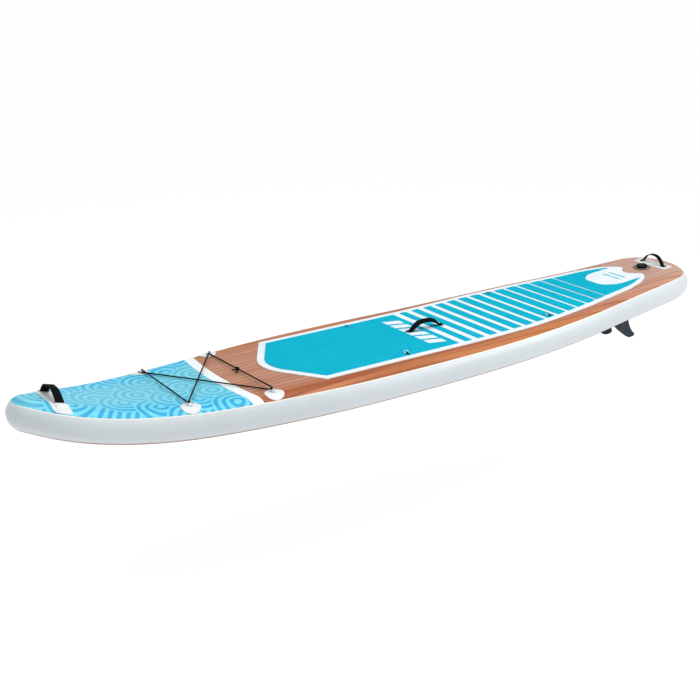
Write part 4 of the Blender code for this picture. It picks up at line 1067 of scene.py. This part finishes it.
def arch(x, half, rise, base, foot):
    """Arch across the board with a flat foot at each end, in deck coordinates."""
    side = [(half + foot * share, base) for share in (1.0, 0.8, 0.6, 0.4, 0.2)]
    side += [(half * share, base + rise * (1 - share ** 2.6)) for share in spread(1.0, 0.0, 16)]
    path = [Vector((x, y, h)) for y, h in side]
    return path + [Vector((x, -y, h)) for y, h in reversed(side[:-1])]


def edge_half(beyond):
    """Half length of a patch whose ends stop a given way outboard of the panel's edge."""
    def half_at(x):
        return panel_half(x) + beyond / foot_on_side(x, panel_half(x) + 0.01)[1].y
    return half_at


def stitched_box(x, y, length, width, height, name, surface):
    """Box and cross of thread that holds a webbing foot; length runs across the board."""
    corners = [(x + width / 2 * i, y + length / 2 * j) for i, j in ((-1, -1), (1, -1), (1, 1), (-1, 1))]
    lines = [(corners[i], corners[(i + 1) % 4]) for i in range(4)]
    lines += [(corners[0], corners[2]), (corners[1], corners[3])]
    bm = bmesh.new()
    for (x0, y0), (x1, y1) in lines:
        count = max(int(math.hypot(x1 - x0, y1 - y0) / 0.0032), 2)
        for i in range(count):
            points = []
            for part, lift in ((0.15, 0), (0.5, 0.0004), (0.85, 0)):
                share = (i + part) / count
                points.append(deck_point(x0 + (x1 - x0) * share, y0 + (y1 - y0) * share, height + lift))
            stitch = sweep(points, [(radius, radius) for radius in (0.00035, 0.00045, 0.00035)], 6)
            mesh = bpy.data.meshes.new("stitch")
            stitch.to_mesh(mesh)
            stitch.free()
            bm.from_mesh(mesh)
            bpy.data.meshes.remove(mesh)
    return place_mesh(bm, name, surface)


def nose_cover(side):
    """White flap over one foot of the nose handle, raised where the webbing lies under it."""
    x, half, _, width, foot = NOSE_HANDLE
    grid = []
    for along in spread(0, 1, 16):
        y = half + 0.002 + 0.042 * along
        reach = 0.027 - 0.005 * max(along - 0.6, 0) ** 2 * 6
        past_end = min(max((half + foot + 0.012 - y) / 0.012, 0), 1)
        line = []
        for across in spread(-1, 1, 16):
            over_tape = 1 - max((abs(across) * reach - width / 2) / (reach - width / 2), 0)
            share = min(over_tape, past_end)
            share = share * share * (3 - 2 * share)
            line.append((x + across * reach, side * y, PATCH_TOP + 0.0012 + share * (WEBBING + 0.0012)))
        grid.append(line)
    return bend_to_deck(sheet_solid(grid, lambda p: (p[0], p[1], p[2] - 0.0009)))


def build_handles(paints):
    """Webbing handles on their patches at the nose and the tail, and the padded one amidships."""
    base = PATCH_TOP + LAY_GAP + WEBBING / 2
    for end, handle, middle, half_at, corner in (
            ("nose", NOSE_HANDLE, NOSE_HANDLE[0] + 0.008, edge_half(0.050), 0.012),
            ("tail", TAIL_HANDLE, TAIL_HANDLE[0], lambda _: TAIL_PATCH_HALF, 0.010)):
        x, half, rise, width, foot = handle
        place_mesh(draped_strip(middle, PATCH_WIDTH, half_at, corner), f"{end}_reinforcement",
                   paints["patch"], [f"{end}_patch"])
        tape = ribbon(arch(x, half, rise, base, foot), Vector((1, 0, 0)), width, WEBBING, on_deck)
        place_mesh(tape, f"{end}_tape", paints["tape"], [f"{end}_webbing"])
        for place, side in SIDES:
            if end == "nose":
                place_mesh(nose_cover(side), f"nose_cover_{place}", paints["patch"], [f"nose_flap_{place}"])
            else:
                stitched_box(x, side * (half + foot * 0.5), foot * 0.8, width * 0.78, base + WEBBING / 2,
                             f"tail_stitches_{place}", paints["thread"])

    half = (GRIP_FRONT - GRIP_REAR) / 2
    middle = (GRIP_FRONT + GRIP_REAR) / 2
    foot = PAD_TOP + LAY_GAP + FOOT_HALVES[1]
    line = [(-half - past, foot, 0.0) for past in (0.02, 0.012, 0.004)]
    for share in spread(-0.97, 0.97, 40):
        fullness = min(1.0, (1 - abs(share)) / 0.38)
        line.append((half * share, foot + GRIP_RISE * (1 - abs(share) ** 2.6), fullness))
    line += [(half + past, foot, 0.0) for past in (0.004, 0.012, 0.02)]
    path = [deck_point(middle + x, 0, h) for x, h, _ in line]
    radii = [tuple(flat + (full - flat) * fullness for flat, full in zip(FOOT_HALVES, GRIP_HALVES))
             for _, _, fullness in line]
    grip = place_mesh(sweep(path, radii, 28), "center_grip", paints["grip"], ["center_handle"])


# ---------------------------------------------------------------- valve and fins

def build_valve(paints):
    """Housing and gasket, the spring, the ribbed cap, and the strap and hinge of the lid."""
    frame = deck_frame(VALVE_X)
    seat, top, mouth = 0.0004, 0.0034, 0.0124
    body = rounded([
        (0.0195, mouth, 0.0004), (0.0195, -0.030, 0), (0.009, -0.030, 0), (0.009, -0.034, 0),
        (0.0225, -0.034, 0),
        (0.0225, seat, 0), (0.045, seat, 0), (0.045, top, 0.0010), (0.0415, top, 0.0004),
        (0.0408, top - 0.0014, 0), (0.0275, top - 0.0014, 0), (0.0262, top, 0.0004), (0.0235, top, 0.0006),
        (0.0235, mouth, 0.0006)], 4)
    place_mesh(turned(body), "valve_housing", paints["black"], ["valve_body"], frame)
    ring = [(0.0280, top - 0.0013), (0.0405, top - 0.0013), (0.0403, top - 0.0008), (0.0282, top - 0.0008)]
    place_mesh(turned(ring), "valve_gasket", paints["gasket"], matrix=frame)
    lid = mouth + 0.0015
    low = top + 0.0012
    cap = rounded([
        (0, lid, 0), (0.0253, lid, 0.0006), (0.0253, low, 0), (0.0275, low, 0.0004),
        (0.0275, lid + 0.003, 0.0016), (0.0215, lid + 0.003, 0.0003), (0.0205, lid + 0.0018, 0.0003),
        (0.0125, lid + 0.0018, 0.0003), (0.0115, lid + 0.003, 0.0003), (0, lid + 0.003, 0)], 4)
    place_mesh(turned(cap), "valve_cover", paints["black"], ["valve_cap"], frame, "valve_cap_turn")
    steps = 160
    rises = spread(SPRING_LOW + SPRING_WIRE, SPRING_HIGH - SPRING_WIRE, steps)
    coil = [Vector((SPRING_RADIUS * math.cos(a), SPRING_RADIUS * math.sin(a), z))
            for a, z in zip(spread(0, 2 * math.pi * SPRING_TURNS, steps), rises)]
    spring = place_mesh(sweep(coil, SPRING_WIRE, 10), "valve_coil", paints["steel"],
                        ["valve_spring"], frame)
    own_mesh(spring)
    inner = 0.0283
    band = turned(rounded([(inner, top + 0.0014, 0.0003), (inner + 0.0036, top + 0.0014, 0.0003),
                           (inner + 0.0036, top + 0.0034, 0.0005), (inner, top + 0.0034, 0.0005)], 3))
    place_mesh(band, "valve_tether", paints["black"], ["valve_strap"], frame, "valve_lid")
    arm = prism([(-0.006, -inner - 0.0018), (-0.006, -0.040), (0.006, -0.040), (0.006, -inner - 0.0018)],
                top + 0.0016, top + 0.0030, 0.0004)
    place_mesh(arm, "valve_hinge", paints["black"], (), frame, "valve_lid")
    for k in range(6):
        turn = Matrix.Rotation(k * math.pi / 3, 4, "Z")
        rib = prism([(0.0122, -0.0010), (0.0208, -0.0010), (0.0208, 0.0010), (0.0122, 0.0010)],
                    lid + 0.0012, lid + 0.0029, 0.0003)
        place_mesh(rib, f"valve_rib_{k + 1}", paints["black"], (), frame @ turn, "valve_cap_turn")


def foil(outline, thickness, base=()):
    """Blade through (depth, front, rear) stations, over an optional stack of plain levels."""
    bm = bmesh.new()
    chord = outline[0][2] - outline[0][1]
    sides = 18
    shares = [0.5 - 0.5 * math.cos(math.pi * k / sides) for k in range(sides + 1)]
    levels = [(*level, True) for level in base]
    for depth, front, rear in smooth_line([Vector(p) for p in outline], 6):
        levels.append((depth, front, rear, 0.5 * thickness * max((rear - front) / chord, 0.2), False))
    rings = []
    for depth, front, rear, half, plain in levels:
        run = []
        for share in shares:
            bulge = 1.0 if plain else max(2.6 * math.sqrt(share) * (1 - share) ** 0.85, 0.09)
            run.append((front + (rear - front) * share, half * min(bulge, 1.0)))
        ring = run + [(x, -y) for x, y in reversed(run)]
        rings.append([bm.verts.new((x, y, depth)) for x, y in ring])
    marks = shares + shares[::-1]
    deepest = outline[-1][0]
    skin_with_uv(bm, rings, lambda level, k: (marks[k % len(marks)], levels[level][0] / deepest))
    return bm


def build_fins(paints):
    """Swept centre fin with the base that slides in its box, and two side fins, each with a foot."""
    base = [(depth, -0.098, 0.093, half) for depth, half in
            ((0.0081, 0.0078), (0.0129, 0.0078), (0.0129, 0.0048), (0.0201, 0.0048))]
    outline = [(0.0207, -0.096, 0.094), (0.060, -0.073, 0.0925), (0.100, -0.043, 0.094),
               (0.140, -0.009, 0.101), (0.175, 0.026, 0.1125), (0.203, 0.058, 0.129),
               (0.220, 0.080, 0.144), (0.229, 0.094, 0.1445), (0.2345, 0.105, 0.135)]
    place_mesh(foil(outline, FIN_THICKNESS, base), "center_blade", paints["fin"], ["center_fin"],
               hull_frame(FIN_BOX_X), "fin")
    outline = [(0.0030, -0.060, 0.059), (0.010, -0.053, 0.0555), (0.030, -0.044, 0.0575),
               (0.058, -0.030, 0.061), (0.080, -0.014, 0.066), (0.094, 0.001, 0.0685),
               (0.101, 0.014, 0.066), (0.1055, 0.027, 0.056)]
    half = [(x, 0.005 * (1 + 1.7 * math.cos(x / 0.067 * math.pi / 2))) for x in spread(-0.066, 0.064, 24)]
    foot = [(x, -y) for x, y in half] + half[::-1]
    for place, side in SIDES:
        frame = hull_frame(SIDE_FIN_X, side * SIDE_FIN_Y) @ Matrix.Rotation(side * SIDE_FIN_TOE, 4, "Z")
        place_mesh(foil(outline, SIDE_FIN_THICKNESS), f"side_blade_{place}", paints["fin_black"],
                   [f"side_fin_{place}"], frame)
        place_mesh(prism(foot, 0.0002, 0.0036, 0.0012), f"side_fin_foot_{place}", paints["fin_black"],
                   matrix=frame)


# ---------------------------------------------------------------- stage

def build_stage():
    """Pale floor, soft lights and the camera."""
    mesh = bpy.data.meshes.new("floor")
    bm = bmesh.new()
    bmesh.ops.create_grid(bm, x_segments=1, y_segments=1, size=120)
    bm.to_mesh(mesh)
    bm.free()
    floor = bpy.data.objects.new("floor", mesh)
    floor.location.z = FLOOR_HEIGHT
    paint = Paint("floor", 0.9)
    paint.colour((0.12, 0.12, 0.12, 1.0))
    paint.shader.inputs["Emission Color"].default_value = (1, 1, 1, 1)
    paint.shader.inputs["Emission Strength"].default_value = 0.93
    mesh.materials.append(paint.material)
    bpy.context.scene.collection.objects.link(floor)

    # studio with white walls low down and a dimmer ceiling
    world = bpy.data.worlds.new("studio")
    world.use_nodes = True
    nodes = world.node_tree.nodes
    links = world.node_tree.links
    coordinate = nodes.new("ShaderNodeTexCoord")
    parts = nodes.new("ShaderNodeSeparateXYZ")
    fade = nodes.new("ShaderNodeMapRange")
    fade.inputs["From Min"].default_value = 0.04
    fade.inputs["From Max"].default_value = 0.30
    fade.inputs["To Min"].default_value = 1.0
    fade.inputs["To Max"].default_value = 0.30
    links.new(coordinate.outputs["Generated"], parts.inputs[0])
    links.new(parts.outputs["Z"], fade.inputs["Value"])
    links.new(fade.outputs[0], nodes["Background"].inputs["Strength"])
    nodes["Background"].inputs["Color"].default_value = (0.96, 0.98, 1.0, 1.0)
    bpy.context.scene.world = world
    for name, place, size, power in LAMPS:
        light = bpy.data.lights.new(name, "AREA")
        light.shape = "SQUARE"
        light.size = size
        light.energy = power
        lamp = bpy.data.objects.new(name, light)
        lamp.location = place
        lamp.rotation_euler = (-Vector(place)).to_track_quat("-Z", "Y").to_euler()
        bpy.context.scene.collection.objects.link(lamp)

    right = Vector((math.cos(CAMERA_TURN), math.sin(CAMERA_TURN), 0))
    level = math.cos(CAMERA_RISE)
    back = Vector((right.y * level, -right.x * level, math.sin(CAMERA_RISE)))
    up = back.cross(right)
    axes = (math.cos(CAMERA_ROLL) * right + math.sin(CAMERA_ROLL) * up,
            math.cos(CAMERA_ROLL) * up - math.sin(CAMERA_ROLL) * right, back)
    place = axes[0] * CAMERA_RIGHT + axes[1] * CAMERA_UP + back * CAMERA_BACK
    camera = bpy.data.objects.new("camera", bpy.data.cameras.new("camera"))
    camera.data.sensor_width = 36.0
    camera.data.lens = CAMERA_LENS
    camera.data.clip_end = 400
    camera.matrix_world = Matrix.Translation(place) @ Matrix(axes).transposed().to_4x4()
    bpy.context.scene.collection.objects.link(camera)
    bpy.context.scene.camera = camera
    bpy.context.scene.view_settings.view_transform = "Standard"


def main():
    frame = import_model()
    build_stage()
    black = plastic_paint("black_plastic_parts", linear(10, 10, 11), linear(18, 18, 20))
    grey = plastic_paint("grey_plastic_parts", linear(112, 114, 116), linear(128, 130, 132), 0.5)
    paints = {
        "patch": coated_paint("patch_cloth", linear(222, 226, 227), linear(232, 235, 236)),
        "white_tape": webbing_paint("white_tape", linear(214, 218, 219), linear(236, 238, 239)),
        "tape": webbing_paint("black_tape", linear(4, 4, 5), linear(24, 24, 26)),
        "grip": webbing_paint("grip_cloth", linear(4, 4, 5), linear(22, 22, 24), 0.0016),
        "thread": plastic_paint("thread", linear(30, 30, 32), linear(52, 52, 55), 0.8),
        "steel": steel_paint(),
        "black": black,
        "gasket": plastic_paint("gasket_rubber", linear(150, 136, 124), linear(168, 152, 140), 0.7),
        "fin": fin_paint(),
        "fin_black": plastic_paint("side_fin_plastic", linear(9, 11, 14), linear(18, 22, 27), 0.3),
    }
    hull_skin("deck_shell", 0, PRINT_WRAP, SKIN, deck_paint(), "deck_skin", hole=True)
    hull_skin("bottom_shell", math.pi, math.pi - PRINT_WRAP, SKIN,
              shell_paint("bottom_cloth", linear(128, 68, 42), linear(146, 84, 56)), "bottom_skin")
    hull_skin("rail_shell", PRINT_WRAP, math.pi - PRINT_WRAP, RAIL_SKIN,
              shell_paint("rail_cloth", linear(205, 212, 216), linear(211, 218, 221)), "rail_wall",
              panel=False)
    white = foam_paint("white_foam", linear(222, 230, 236), linear(228, 235, 240), panel_bars,
                       grooved=False)
    seam_tape("deck_seam", PRINT_WRAP + SEAM_HALF,
              coated_paint("seam_tape", linear(238, 232, 214), linear(244, 240, 226)))
    seam_tape("bottom_seam", math.pi - PRINT_WRAP - SEAM_HALF,
              coated_paint("bottom_seam_tape", linear(196, 203, 207), linear(204, 210, 213)))
    cyan = foam_paint("cyan_foam", linear(9, 188, 214), linear(12, 192, 218))
    front_cyan = foam_paint("cyan_foam_front", linear(9, 188, 214), linear(12, 192, 218), pad_bars)
    build_pad(white, cyan, front_cyan)
    build_bungee(build_rings(paints), cord_paint())
    build_handles(paints)
    build_valve(paints)
    build_fins(paints)
    # nodes that keep their CAD mesh
    core = coated_paint("drop_stitch_cloth", linear(236, 232, 222), linear(222, 216, 204), 0.8)
    kept = {"drop_stitch_core": core, "valve_nut": black, "valve_stem": grey, "valve_button": grey,
            "fin_box": grey, "fin_lever": black}
    for node, surface in kept.items():
        for slot in frame["nodes"][node].material_slots:
            slot.material = surface


main()
